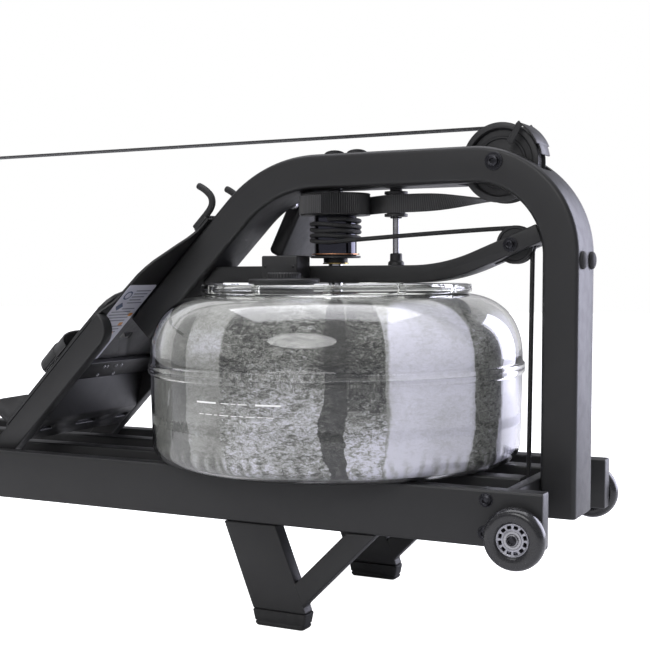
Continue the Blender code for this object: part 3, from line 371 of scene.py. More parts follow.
def rounded_box(bm, low, high, edge):
    """A box with every edge rounded, as stacked rounded rectangles."""
    low, high = Vector(low), Vector(high)
    size, middle = high - low, (low + high) / 2
    steps = 3
    rings = []
    for end in (-1, 1):
        for step in range(steps + 1)[::-end]:
            angle = math.pi / 2 * step / steps
            inset = edge * (1 - math.sin(angle))
            height = end * (size.z / 2 - edge * (1 - math.cos(angle)))
            ring = section(size.x - 2 * inset, size.y - 2 * inset, max(edge - inset, edge * 0.12), steps)
            rings.append([middle + Vector((x, y, height)) for x, y in ring])
    bridge(bm, rings)


def collar(bm, centre, axis, inner, outer, low, high, edge=0.0004, segments=40, material=0):
    """A ring or a disc between two radii and two heights, with rounded corners if there is an edge."""
    profile = [(inner, low), (outer, low), (outer, high), (inner, high)]
    turned_profile(bm, rounded(profile, edge) if edge else profile, centre, axis, segments, material=material)


def prism(bm, outline, low_y, high_y):
    """An outline of (x, z) points, extruded along Y."""
    bridge(bm, [[Vector((x, y, z)) for x, z in outline] for y in (low_y, high_y)])


def finish_mesh(name, bm, looks, sharp=35.0):
    bmesh.ops.recalc_face_normals(bm, faces=bm.faces)
    mesh = bpy.data.meshes.new(name)
    bm.to_mesh(mesh)
    bm.free()
    for look in looks if isinstance(looks, (list, tuple)) else [looks]:
        mesh.materials.append(look.material)
    mesh.shade_smooth()
    mesh.set_sharp_from_angle(angle=math.radians(sharp))
    obj = bpy.data.objects.new(name, mesh)
    bpy.context.scene.collection.objects.link(obj)
    return obj


def settle(obj, body, nodes=()):
    """Sets a piece on its body, in place of the CAD nodes that it stands for."""
    if nodes:
        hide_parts(*nodes)
    if body:
        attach(obj, body)
    return obj


def put(name, bm, looks, body, nodes=(), sharp=35.0):
    """Finishes a piece's mesh and settles it."""
    return settle(finish_mesh(name, bm, looks, sharp), body, nodes)


def solid(name, rings):
    """A painted piece skinned over rings, not yet settled."""
    bm = bmesh.new()
    bridge(bm, rings)
    return finish_mesh(name, bm, PAINT)


def apply_modifiers(obj):
    """Bakes an object's modifiers into its mesh."""
    graph = bpy.context.evaluated_depsgraph_get()
    mesh = bpy.data.meshes.new_from_object(obj.evaluated_get(graph))
    obj.modifiers.clear()
    obj.data = mesh
    return obj


def cut(obj, tool_bm):
    """Cuts a tool's shape out of an object, and applies it."""
    bmesh.ops.recalc_face_normals(tool_bm, faces=tool_bm.faces)
    mesh = bpy.data.meshes.new("tool")
    tool_bm.to_mesh(mesh)
    tool_bm.free()
    tool = bpy.data.objects.new("tool", mesh)
    bpy.context.scene.collection.objects.link(tool)
    modifier = obj.modifiers.new("cut", "BOOLEAN")
    modifier.operation = "DIFFERENCE"
    modifier.solver = "EXACT"
    modifier.object = tool
    bpy.context.view_layer.update()
    apply_modifiers(obj)
    bpy.data.objects.remove(tool, do_unlink=True)
    obj.data.shade_smooth()
    obj.data.set_sharp_from_angle(angle=math.radians(35))


def carve(obj, rings):
    """Cuts away the shape skinned over rings."""
    tool = bmesh.new()
    bridge(tool, rings)
    cut(obj, tool)


def pocket(obj, low, high, edge):
    """Cuts away a rounded box."""
    tool = bmesh.new()
    rounded_box(tool, low, high, edge)
    cut(obj, tool)


def drill(obj, centre, axis, radius, low, high, segments=32):
    """Cuts a round hole between two heights along an axis."""
    tool = bmesh.new()
    collar(tool, centre, axis, 0.0, radius, low, high, 0.0, segments)
    cut(obj, tool)


def soften(obj, width, segments=2, angle=35.0):
    """Rounds the edges that meet at more than the angle, and applies it."""
    modifier = obj.modifiers.new("soften", "BEVEL")
    modifier.width = width
    modifier.segments = segments
    modifier.limit_method = "ANGLE"
    modifier.angle_limit = math.radians(angle)
    modifier.harden_normals = False
    bpy.context.view_layer.update()
    apply_modifiers(obj)
    obj.data.shade_smooth()
    obj.data.set_sharp_from_angle(angle=math.radians(50))
    return obj


def strip(bm, stations, width, thickness):
    """A flat tape through (centre, across, face) stations, with UVs in metres: u along it and v across it."""
    layer = bm.loops.layers.uv.verify()
    travelled, before = 0.0, None
    rings, marks = [], []
    for centre, across, face in stations:
        centre = Vector(centre)
        travelled += (centre - before).length if before is not None else 0.0
        before = centre
        half = Vector(across).normalized() * width / 2
        lift = Vector(face).normalized() * thickness / 2
        rim = half * 0.985
        points = [(-half, 0.0), (-rim, 1.0), (rim, 1.0), (half, 0.0), (rim, -1.0), (-rim, -1.0)]
        rings.append([centre + side + lift * up for side, up in points])
        marks.append([(travelled, side.dot(half.normalized())) for side, up in points])
    loops = bridge(bm, rings)
    uv = {vert: marks[n][k] for n, ring in enumerate(loops) for k, vert in enumerate(ring)}
    for face in bm.faces:
        for loop in face.loops:
            if loop.vert in uv:
                loop[layer].uv = uv[loop.vert]


def smooth_path(points, spacing):
    """A denser line through the points, as a Catmull-Rom spline."""
    points = [Vector(p) for p in points]
    padded = [2 * points[0] - points[1]] + points + [2 * points[-1] - points[-2]]
    found = []
    for a, b, c, d in zip(padded, padded[1:], padded[2:], padded[3:]):
        count = max(1, round((c - b).length / spacing))
        for step in range(count):
            t = step / count
            found.append(0.5 * (2 * b + (c - a) * t + (2 * a - 5 * b + 4 * c - d) * t * t
                                + (3 * b - a - 3 * c + d) * t * t * t))
    return found + [points[-1]]


def heading(points, index):
    """The way a path runs at one of its points."""
    return (points[min(index + 1, len(points) - 1)] - points[max(index - 1, 0)]).normalized()


def hoop(centre, one, other, radius, count):
    """A circle of points, in the plane of two unit vectors."""
    return [centre + (one * math.cos(a) + other * math.sin(a)) * radius
            for a in (2 * math.pi * n / count for n in range(count))]


def round_cord(bm, points, radius):
    """A round cord along the points, with UVs: u along it in metres and v round it from 0 to 1."""
    layer = bm.loops.layers.uv.verify()
    sides = 12
    up = Vector(UPRIGHT) if abs((points[1] - points[0]).normalized().z) < 0.9 else Vector((1, 0, 0))
    rings, travelled = [], 0.0
    for index, point in enumerate(points):
        ahead = heading(points, index)
        up = (up - ahead * up.dot(ahead)).normalized()
        travelled += (point - points[index - 1]).length if index else 0.0
        rings.append((travelled, [bm.verts.new(p) for p in hoop(point, up, ahead.cross(up), radius, sides)]))
    for (u0, this), (u1, after) in zip(rings, rings[1:]):
        for step in range(sides):
            follow = (step + 1) % sides
            face = bm.faces.new([this[step], this[follow], after[follow], after[step]])
            v0, v1 = step / sides, (step + 1) / sides
            for loop, uv in zip(face.loops, ((u0, v0), (u0, v1), (u1, v1), (u1, v0))):
                loop[layer].uv = uv
    bm.faces.new(rings[0][1])
    bm.faces.new(rings[-1][1][::-1])


def button_head(bm, centre, axis, radius, height, socket=0.42, material=0, skirt=0.25):
    """A domed screw head; socket is its hex recess's share of the radius, 0 for a plain dome."""
    half = []
    steps = 7
    for step in range(steps + 1):
        angle = math.pi / 2 * step / steps
        half.append((radius * math.cos(angle), height * (skirt + (1 - skirt) * math.sin(angle))))
    depth = height * 0.35
    if socket:
        inner = radius * socket
        crown = half[-1][1]
        half = [p for p in half if p[0] > inner * 1.3]
        half += [(inner * 1.15, crown), (inner, crown - 0.0003), (inner, depth), (0.0, depth)]
    profile = [(0.0, 0.0), (radius, 0.0)] + half

    def hexagon(angle, r, h):
        if not socket or r > radius * socket * 1.01 or h < depth * 0.99 or r == 0.0:
            return 0.0
        turn = (math.degrees(angle) % 60) - 30
        return r * (math.cos(math.radians(30)) / math.cos(math.radians(turn)) - 1)

    turned_profile(bm, profile, centre, axis, 24, hexagon, material)


def hex_head(bm, centre, axis, radius, height, material=0):
    """A hexagon bolt head or nut with a chamfered top."""
    profile = [(0.0, 0.0), (radius, 0.0), (radius, height * 0.82), (radius * 0.88, height), (0.0, height)]

    def hexagon(angle, r, h):
        turn = (math.degrees(angle) % 60) - 30
        flat = math.cos(math.radians(30)) / math.cos(math.radians(turn))
        return r * (flat - 1) if h < height * 0.9 else r * (min(flat * 1.1, 1.0) - 1)

    turned_profile(bm, profile, centre, axis, 24, hexagon, material)


def washer(bm, centre, axis, inner, outer, thickness, material=0):
    collar(bm, centre, axis, inner, outer, 0.0, thickness, 0.0004, 32, material)


def arc(centre_x, centre_z, radius, start, end, steps):
    """(point, heading) stations round an arc."""
    found = []
    turn = 1 if end > start else -1
    for step in range(steps + 1):
        angle = math.radians(start + (end - start) * step / steps)
        found.append(((centre_x + radius * math.cos(angle), centre_z + radius * math.sin(angle)),
                      (-math.sin(angle) * turn, math.cos(angle) * turn)))
    return found


def beam(bm, start, end, across, width, depth, corner=0.003, lip=0.0012):
    """A straight tube with rounded corners and ends."""
    start, end = Vector(start), Vector(end)
    along, across = (end - start).normalized(), Vector(across).normalized()
    up, length = along.cross(across), (end - start).length
    shape = [(lip, 0.0), (lip * 0.3, lip * 0.3), (0.0, lip)]
    shape += [(inset, length - back) for inset, back in shape[::-1]]
    rings = []
    for inset, place in shape:
        ring = section(width - 2 * inset, depth - 2 * inset, max(corner - inset, corner * 0.3))
        rings.append([start + along * place + across * a + up * u for a, u in ring])
    bridge(bm, rings)


# ---------------------------------------------------------------- frame
def make_rails():
    middle = (RAIL_OUTER_Y + RAIL_INNER_Y) / 2
    level = RAIL_TOP - RAIL_HEIGHT / 2
    for side, sign in SIDES:
        bm = bmesh.new()
        beam(bm, (RAIL_REAR, sign * middle, level), (RAIL_FRONT, sign * middle, level), ACROSS,
             RAIL_OUTER_Y - RAIL_INNER_Y, RAIL_HEIGHT, 0.0035, 0.0020)
        put(f"rail_{side}", bm, PAINT, "frame", [f"main_rail_{side}"])
        bm = bmesh.new()
        beam(bm, (RAIL_REAR + 0.0353, sign * INNER_RAIL_Y, RAIL_TOP - 0.025),
             (RAIL_FRONT - 0.0583, sign * INNER_RAIL_Y, RAIL_TOP - 0.025), ACROSS, 0.030, 0.050, 0.003)
        put(f"guide_rail_{side}", bm, PAINT, "frame", [f"inner_rail_{side}"])
        bm = bmesh.new()
        for dx, dz in ((-0.070, -0.0125), (-0.0715, -0.0525)):
            washer(bm, at(dx, sign * (RAIL_OUTER_Y + 0.0001), dz), (0, sign, 0), 0.004, 0.0088, 0.0012)
            button_head(bm, at(dx, sign * (RAIL_OUTER_Y + 0.0012), dz), (0, sign, 0), 0.0078, 0.0042, 0.45)
        for dx, dz in ((-1.840, -0.035), (-1.995, -0.020), (-1.995, -0.050)):
            button_head(bm, at(dx, sign * (RAIL_OUTER_Y + 0.0001), dz), (0, sign, 0), 0.0078, 0.0042, 0.45)
        put(f"rail_bolts_{side}", bm, BLACK_OXIDE, "frame")
    bm = bmesh.new()
    half = RAIL_INNER_Y - GAP
    beam(bm, at(-0.04975, -half, -0.029), at(-0.04975, half, -0.029), (1, 0, 0), 0.0165, 0.052, 0.0025,
         0.0006)
    put("front_tie", bm, PAINT, "frame", ["front_cross_tube"])
    bm = bmesh.new()
    middle_x = RAIL_REAR + 0.0225
    beam(bm, (middle_x, -half, level), (middle_x, half, level), (1, 0, 0), 0.025, 0.066, 0.0025, 0.0006)
    put("rear_tie", bm, PAINT, "frame", ["rear_cross_tube"])


def make_arch():
    """The wide tube over the tank, slotted for the belt's pulley."""
    mid_level = ARCH_TOP - ARCH_DEPTH / 2
    plane = ARCH_LEG_PLANE - ARCH_DEPTH / math.sqrt(2)
    radius, front_radius, foot = 0.1765, 0.1185, -0.053
    rear_x = mid_level - plane + radius * math.tan(math.radians(22.5))
    lean = math.sqrt(0.5)
    low, high = (-0.478 - plane) / 2, rear_x - radius * lean
    stations = [((x, x + plane), (lean, lean)) for x in (low + (high - low) * step / 6 for step in range(6))]
    stations += arc(rear_x, mid_level - radius, radius, 135, 90, 18)
    stations += arc(ARCH_POST - front_radius, mid_level - front_radius, front_radius, 90, 0, 36)
    stations += [((ARCH_POST, z), (0.0, -1.0)) for z in (0.20, 0.10, 0.0, foot + 0.0012)]
    whole = section(ARCH_WIDTH, ARCH_DEPTH, 0.006, 5)
    rings = [[at(x - hz * up, y, z + hx * up) for y, up in whole] for (x, z), (hx, hz) in stations]
    lip = section(ARCH_WIDTH - 0.0024, ARCH_DEPTH - 0.0024, 0.005, 5)
    rings.append([at(ARCH_POST + up, y, foot) for y, up in lip])
    arch = solid("arch", rings)
    pocket(arch, at(-0.163, -0.0205, 0.290), at(-0.046, 0.0205, 0.440), 0.003)
    drill(arch, midway(TOP_PULLEY), ACROSS, 0.0053, -0.06, 0.06, 24)
    settle(arch, "frame", ["arch_tube"])
    bm = bmesh.new()
    for dx in (-0.3510, -0.3165):
        button_head(bm, at(dx, 0, ARCH_TOP + 0.0001), UPRIGHT, 0.0145, 0.0078, 0.0)
    for y in (-0.022, 0.022):
        button_head(bm, at(0.0061, y, 0.275), (1, 0, 0), 0.0115, 0.0062, 0.0)
    put("arch_caps", bm, RUBBER, "frame")


def make_beam():
    """The beam above the tank, bent up to the fork of the cord's pulley."""
    rise, radius, bend = math.radians(22.0), 0.230, -0.225
    edge = ARCH_DEPTH * math.sqrt(2) - ARCH_LEG_PLANE + 0.0006
    depth = BEAM_TOP - BEAM_LOW
    low, top = [(BEAM_LOW + edge, BEAM_LOW)], [(BEAM_TOP + edge, BEAM_TOP)]
    for step in range(17):
        angle = rise * step / 16
        for line, reach in ((low, radius + depth), (top, radius)):
            line.append((bend + reach * math.sin(angle), BEAM_TOP + radius - reach * math.cos(angle)))
    for line, end_x in ((low, -0.0445), (top, -0.0535)):
        x, z = line[-1]
        line.append((end_x, z + (end_x - x) * math.tan(rise)))
    bm = bmesh.new()
    prism(bm, [(RAIL_FRONT + x, RAIL_TOP + z) for x, z in low + top[::-1]], -0.025, 0.025)
    obj = soften(finish_mesh("tank_beam", bm, PAINT), 0.0022, 3)
    pocket(obj, at(-0.118, -0.0105, 0.230), at(-0.0575, 0.0105, 0.360), 0.002)
    drill(obj, midway(CORD_PULLEY), ACROSS, 0.0053, -0.05, 0.05)
    drill(obj, at(TANK, 0, BEAM_LOW), UPRIGHT, 0.0115, -0.05, 0.05)
    settle(obj, "frame", ["tank_crossmember"])


def weld(bm, start, end, radius=0.0022):
    """A rippled bead of weld along a joint."""
    start, end = Vector(start), Vector(end)
    count = max(4, int((end - start).length / 0.0022))
    along = (end - start).normalized()
    side = along.orthogonal().normalized()
    other = along.cross(side)
    rings = []
    for step in range(count + 1):
        swell = radius * (0.75 + 0.25 * (step % 2)) * (0.4 if step in (0, count) else 1.0)
        rings.append(hoop(start.lerp(end, step / count), side, other, swell, 8))
    bridge(bm, rings)


def make_legs():
    top_z, foot_z, half = RAIL_TOP - RAIL_HEIGHT - GAP, 0.0223, 0.03925
    rear_half = half - 0.004
    front_foot, rear_foot, tie_z = -0.356, -1.950, 0.078
    lean = (0.4005 - 0.356) / (top_z - foot_z)
    brace_top, half_brace = -0.2365, 0.0205
    front_top = -0.4005 + half
    upper, lower = [(brace_top + s * half_brace - front_top) / (1 + lean) for s in (-1, 1)]
    front = [(-0.4005 - half, top_z), (front_foot - half, foot_z), (front_foot + half, foot_z),
             (front_top + lean * lower, top_z - lower), (brace_top + half_brace, top_z),
             (brace_top - half_brace, top_z), (front_top + lean * upper, top_z - upper), (front_top, top_z)]
    rear = [(-1.905 - rear_half, top_z), (rear_foot - rear_half, foot_z), (rear_foot + rear_half, foot_z),
            (-1.905 + rear_half, top_z)]
    rear_bm = bmesh.new()
    for side, sign in SIDES:
        ys = sorted((sign * (RAIL_INNER_Y + 0.001), sign * RAIL_OUTER_Y))
        prism(rear_bm, [(RAIL_FRONT + x, z) for x, z in rear], *ys)
        bm = bmesh.new()
        prism(bm, [(RAIL_FRONT + x, z) for x, z in front], *ys)
        leg = soften(finish_mesh(f"leg_{side}", bm, PAINT), 0.0024, 3)
        settle(leg, "frame", [f"front_leg_{side}"])
        bm = bmesh.new()
        for y in (ys[0] + 0.001, ys[1] - 0.001):
            weld(bm, (RAIL_FRONT + front_top + lean * upper, y, top_z - upper),
                 (RAIL_FRONT + front_top + lean * lower, y, top_z - lower), 0.0016)
        put(f"leg_weld_{side}", bm, PAINT, "frame")
    legs = soften(finish_mesh("rear_legs", rear_bm, PAINT), 0.0024, 3)
    settle(legs, "frame", ["rear_leg"])
    bm = bmesh.new()
    middle, reach = RAIL_FRONT - 1.9275, RAIL_INNER_Y + 0.0008
    beam(bm, (middle, -reach, tie_z), (middle, reach, tie_z), (1, 0, 0), 0.040, 0.040, 0.003, 0.0004)
    put("rear_leg_tie", bm, PAINT, "frame")
    steps = ((0.0, 0.0060), (0.0006, 0.0050), (0.0026, 0.0036), (0.0045, 0.0030), (0.0055, 0.0042),
             (0.0065, 0.0042), (0.0075, 0.0027), (0.0205, 0.0004), (0.0217, 0.0010), (0.0220, 0.0022))
    for end, dx, reach in (("front", front_foot, half), ("rear", rear_foot, rear_half)):
        for side, sign in SIDES:
            bm = bmesh.new()
            rings = []
            for height, shrink in steps:
                ring = section(2 * (reach + 0.0012 - shrink), 2 * (0.0137 - shrink * 0.45), 0.004)
                rings.append([Vector((RAIL_FRONT + dx + x, sign * 0.1485 + y, height)) for x, y in ring])
            bridge(bm, rings)
            put(f"shoe_{end}_{side}", bm, RUBBER, "frame", [f"{end}_foot_{side}"])


# ---------------------------------------------------------------- foot station
def sloped_outline(outline, low, high):
    """Rings of an (along, y) outline between two heights off the board."""
    return [[slope(along, y, off) for along, y in outline] for off in (low, high)]


def across_board(outline, low_y, high_y):
    """Rings of an (along, off) outline between two sides of the board."""
    return [[slope(along, y, off) for along, off in outline] for y in (low_y, high_y)]


def shifted(ring, first, second):
    """A ring of pairs, moved."""
    return [(first + a, second + b) for a, b in ring]


def make_foot_frame():
    radius, depth, low, top, half = 0.0276, 0.0345, -0.632, -0.325, 0.1149
    outline = [(low, -GAP), (top, -GAP)]
    for step in range(1, 13):
        angle = math.pi / 2 * step / 12
        outline.append((top - radius + radius * math.cos(angle), radius - depth - radius * math.sin(angle)))
    outline.append((low, -depth))
    for side, sign in SIDES:
        ys = sorted((sign * 0.1152, sign * 0.1357))
        strut = soften(solid(f"strut_{side}", across_board(outline, *ys)), 0.0022, 3)
        settle(strut, "frame", [f"foot_strut_{side}"])
        bm = bmesh.new()
        for along, off in ((-0.565, -0.010), (-0.537, -0.012)):
            hex_head(bm, slope(along, sign * 0.1151, off), (0, -sign, 0), 0.0052, 0.0040)
        put(f"strut_bolts_{side}", bm, BLACK_OXIDE, "frame")
    flat = [(-0.465, -GAP), (-0.465, -0.008), (-0.430, -0.008), (-0.430, -GAP)]
    bar = soften(solid("arch_foot_tie", across_board(flat, -half, half)), 0.0010, 2)
    settle(bar, "frame", ["foot_cross_tube"])
    back = slope(0, 0, -1) - slope(0, 0, 0)
    bm = bmesh.new()
    for along, ys in ((-0.440, (-0.020, -0.012, 0.010, 0.024)), (-0.459, (-0.020, 0.020))):
        for y in ys:
            button_head(bm, slope(along, y, -0.0081), back, 0.0028, 0.0016, 0.45)
    put("tie_screws", bm, STEEL, "frame")
    wedge = [(-0.470, -GAP), (-0.564, -GAP), (-0.564, -depth), (-0.519, -depth), (-0.470, -0.004)]
    tie = solid("strut_tie", across_board(wedge, -half, half))
    for y, width in ((0.0, 0.048), (-0.094, 0.030), (0.094, 0.030)):
        carve(tie, sloped_outline(shifted(section(0.0085, width, 0.004), -0.540, y), -0.050, -0.0285))
    soften(tie, 0.0014, 2, 30)
    settle(tie, "frame", ["lower_cross_tube"])


def make_footboard():
    half = [(-0.572, 0.124), (-0.570, 0.131), (-0.564, 0.135), (-0.345, 0.135), (-0.333, 0.132),
            (-0.322, 0.126), (-0.305, 0.112), (-0.285, 0.108), (-0.250, 0.105), (-0.235, 0.100),
            (-0.222, 0.093), (-0.206, 0.080), (-0.190, 0.067), (-0.178, 0.056), (-0.166, 0.048),
            (-0.152, 0.0445), (-0.137, 0.0445)]
    outline = half + [(along, -y) for along, y in half[::-1]]
    board = solid("foot_plate", sloped_outline(outline, GAP, 0.004))
    for _, sign in SIDES:
        tool = bmesh.new()
        for reach in (-0.0555, 0.0555):
            slot = shifted(section(0.060, 0.0045, 0.0021, 4), -0.430, sign * PAD_Y + reach)
            bridge(tool, sloped_outline(slot, 0.0015, 0.02))
        cut(board, tool)
    carve(board, sloped_outline(shifted(section(0.014, 0.027, 0.004), -0.380, -0.0125), -0.01, 0.02))
    soften(board, 0.0009, 2, 50)
    settle(board, "frame", ["footboard"])


def make_label():
    """The sticker on the board's back: plain blocks, lines and shapes stand for its print."""
    film = Look("label_film", (0.62, 0.62, 0.70), 0.38)
    film.colour(film.ramp(film.noise(140.0, 5.0), [(0.0, (0.54, 0.54, 0.63)), (1.0, (0.66, 0.66, 0.74))]))
    inks = [Look("ink_grey", (0.20, 0.21, 0.26), 0.4), Look("ink_dark", (0.05, 0.08, 0.16), 0.4),
            Look("ink_orange", (0.70, 0.28, 0.04), 0.4)]
    for ink in inks:
        ink.rough(ink.span(ink.noise(500.0), 0.3, 0.7, 0.35, 0.5))
    low, high, size = (-0.429, -0.107), (-0.269, -0.041), (0.160, 0.066)
    bm = bmesh.new()

    def patch(ring, lift, material):
        bridge(bm, sloped_outline(ring, -lift, GAP - 0.0002), material=material)

    def bar(along, y, long, tall, lift, material):
        patch(shifted(section(tall, long, tall * 0.2, 2), along, y), lift, material)

    def rosette(along, radius, count, lift, material):
        ring = [(radius * math.cos(2 * math.pi * n / count), radius * math.sin(2 * math.pi * n / count))
                for n in range(count)]
        patch(shifted(ring, along, low[1] + 0.014), lift, material)

    patch(shifted(section(*size, 0.003), (low[0] + high[0]) / 2, (low[1] + high[1]) / 2), 0.0003, 0)
    rosette(-0.290, 0.0085, 24, 0.00045, 2)
    rosette(-0.313, 0.0085, 4, 0.00045, 2)
    rosette(-0.290, 0.0060, 24, 0.00055, 0)
    for row in range(16):
        if row % 6 == 5:
            continue
        start = 0.026 if row < 7 else 0.006
        long = 0.036 - 0.008 * ((row * 5) % 4) / 3 + (0.018 if row >= 7 else 0.0)
        bar(-0.281 - row * 0.0062, low[1] + start + long / 2, long, 0.0022, 0.0004, 1)
    for place in range(3):
        bar(-0.331 - 0.020 * place, high[1] - 0.008 - 0.006 * place, 0.0090, 0.0065, 0.00045, 3)
    put("back_label", bm, [film] + inks, "frame", sharp=20)


def heel_rise(along):
    """How high the heel cup's wall stands above its floor."""
    return 0.008 + 0.047 * min(1.0, max(0.0, (-0.512 - along) / 0.066))


def make_heel_cups():
    base, middle = 0.0046, -0.4375
    half = [(-0.585, 0.040), (-0.572, 0.047), (-0.555, 0.050), (-0.385, 0.050), (-0.325, 0.048),
            (-0.308, 0.043), (-0.297, 0.033), (-0.290, 0.018)]
    floor = half + [(along, -y) for along, y in half[::-1]]
    path = [(along, 1.0, 0.0) for along in (-0.516, -0.525, -0.534, -0.543)]
    path += [(-0.552, math.cos(math.pi * n / 28), math.sin(math.pi * n / 28)) for n in range(29)]
    path += [(along, -1.0, 0.0) for along, _, _ in path[3::-1]]
    wall = [(0.046, 0.040, 0.0), (0.046, 0.040, 0.5), (0.046, 0.040, 0.93), (0.0448, 0.0388, 1.0),
            (0.0412, 0.0352, 1.0), (0.040, 0.034, 0.93), (0.040, 0.034, 0.5), (0.040, 0.034, 0.0)]
    for side, sign in SIDES:
        centre = sign * PAD_Y
        bm = bmesh.new()
        rings = []
        for off, shrink in ((0.0, 0.98), (0.001, 1.0), (0.0050, 1.0), (0.0060, 0.975)):
            long = 1 - (1 - shrink) * 0.3
            rings.append([slope(middle + (along - middle) * long, centre + y * shrink, base + off)
                          for along, y in floor])
        bridge(bm, rings)
        for row in range(14):
            along = -0.500 + row * 0.0145
            tread = section(0.0058, 0.074 if along < -0.33 else 0.062, 0.0026, 3)
            bridge(bm, [[slope(along + a * long, centre + b * wide, base + off) for a, b in tread]
                        for long, wide, off in ((1.0, 1.0, 0.0055), (0.55, 0.97, 0.0076))])
        rings = []
        for along, across, back in path:
            rise = heel_rise(along - 0.040 * back)
            rings.append([slope(along - (reach_x + 0.2 * share * rise) * back,
                                centre + (reach_y + 0.1 * share * rise) * across,
                                base + 0.001 + (rise - 0.001) * share) for reach_y, reach_x, share in wall])
        bridge(bm, rings)
        put(f"heel_rest_{side}", bm, PLASTIC, f"heel_{side}", [f"heel_cup_{side}"], sharp=45)


def strap_stations(centre, along, start, end, reach, height, steps=40):
    """Stations of a strap over the foot, from one end of its bow to the other, as shares of half a turn."""
    found = []
    for step in range(steps + 1):
        angle = math.pi * (start + (end - start) * step / steps)
        normal = Vector((math.cos(angle) / 0.0555, math.sin(angle) / 0.032)).normalized()
        face = slope(0, 0, normal.y) - slope(0, 0, 0) + Vector((0, normal.x, 0))
        place = slope(along, centre + reach * math.cos(angle), 0.0046 + height * math.sin(angle) ** 0.75)
        found.append((place, slope(1, 0, 0) - slope(0, 0, 0), face))
    return found


def make_foot_straps():
    for side, sign in SIDES:
        centre = sign * PAD_Y
        bm = bmesh.new()
        strip(bm, strap_stations(centre, -0.430, 0.015, 0.985, 0.0555, 0.032), 0.056, 0.0022)
        put(f"strap_{side}", bm, WEBBING, "frame", [f"foot_strap_{side}"])
        start, end = (0.03, 0.46) if sign > 0 else (0.97, 0.54)
        bm = bmesh.new()
        strip(bm, strap_stations(centre, -0.441, start, end, 0.0575, 0.0342, 24), 0.032, 0.0018)
        put(f"strap_tail_{side}", bm, DARK_WEBBING, "frame")


def make_hooks():
    ring = shifted(section(0.0295, 0.089, 0.005), -0.15125, 0.0)
    plate = soften(solid("hook_plate", sloped_outline(ring, 0.0046, 0.0091)), 0.0008, 2, 50)
    settle(plate, "frame", ["handle_hooks"])
    route = [(-0.5575, 0.3263), (-0.5374, 0.3465), (-0.5305, 0.3555), (-0.5285, 0.3630), (-0.5305, 0.3710),
             (-0.5370, 0.3780), (-0.5450, 0.3835), (-0.5540, 0.3880)]
    thick, spacing = 0.0050, 0.0022
    up = Vector(ACROSS)
    for side, sign in SIDES:
        points = smooth_path([at(x, sign * 0.0385, z) for x, z in route], spacing)
        rings = []
        for index, point in enumerate(points):
            left = (len(points) - 1 - index) * spacing
            radius = thick * math.sqrt(max(0.02, 1 - max(0.0, 1 - left / thick) ** 2))
            rings.append(hoop(point, up, heading(points, index).cross(up), radius, 16))
        bm = bmesh.new()
        bridge(bm, rings)
        put(f"hook_{side}", bm, RUBBER, "frame")
    bm = bmesh.new()
    for y in (-0.020, 0.020):
        button_head(bm, slope(-0.151, y, 0.0092), slope(0, 0, 1) - slope(0, 0, 0), 0.0055, 0.0032, 0.45)
    put("hook_bolts", bm, BLACK_OXIDE, "frame")


# ---------------------------------------------------------------- tank
def shoulder(fraction, inset=0.0):
    """The tank's shoulder, from the wall (0) to the flat top (1)."""
    angle = math.pi / 2 * fraction
    return (0.1640 + (0.0965 - inset) * math.cos(angle) ** 0.8,
            0.1400 + (TANK_TOP - 0.1400 - inset) * math.sin(angle) ** 0.85)


def quarter(centre, radius, start, end, steps):
    return [(centre[0] + radius * math.cos(math.radians(start + (end - start) * n / steps)),
             centre[1] + radius * math.sin(math.radians(start + (end - start) * n / steps)))
            for n in range(steps + 1)]


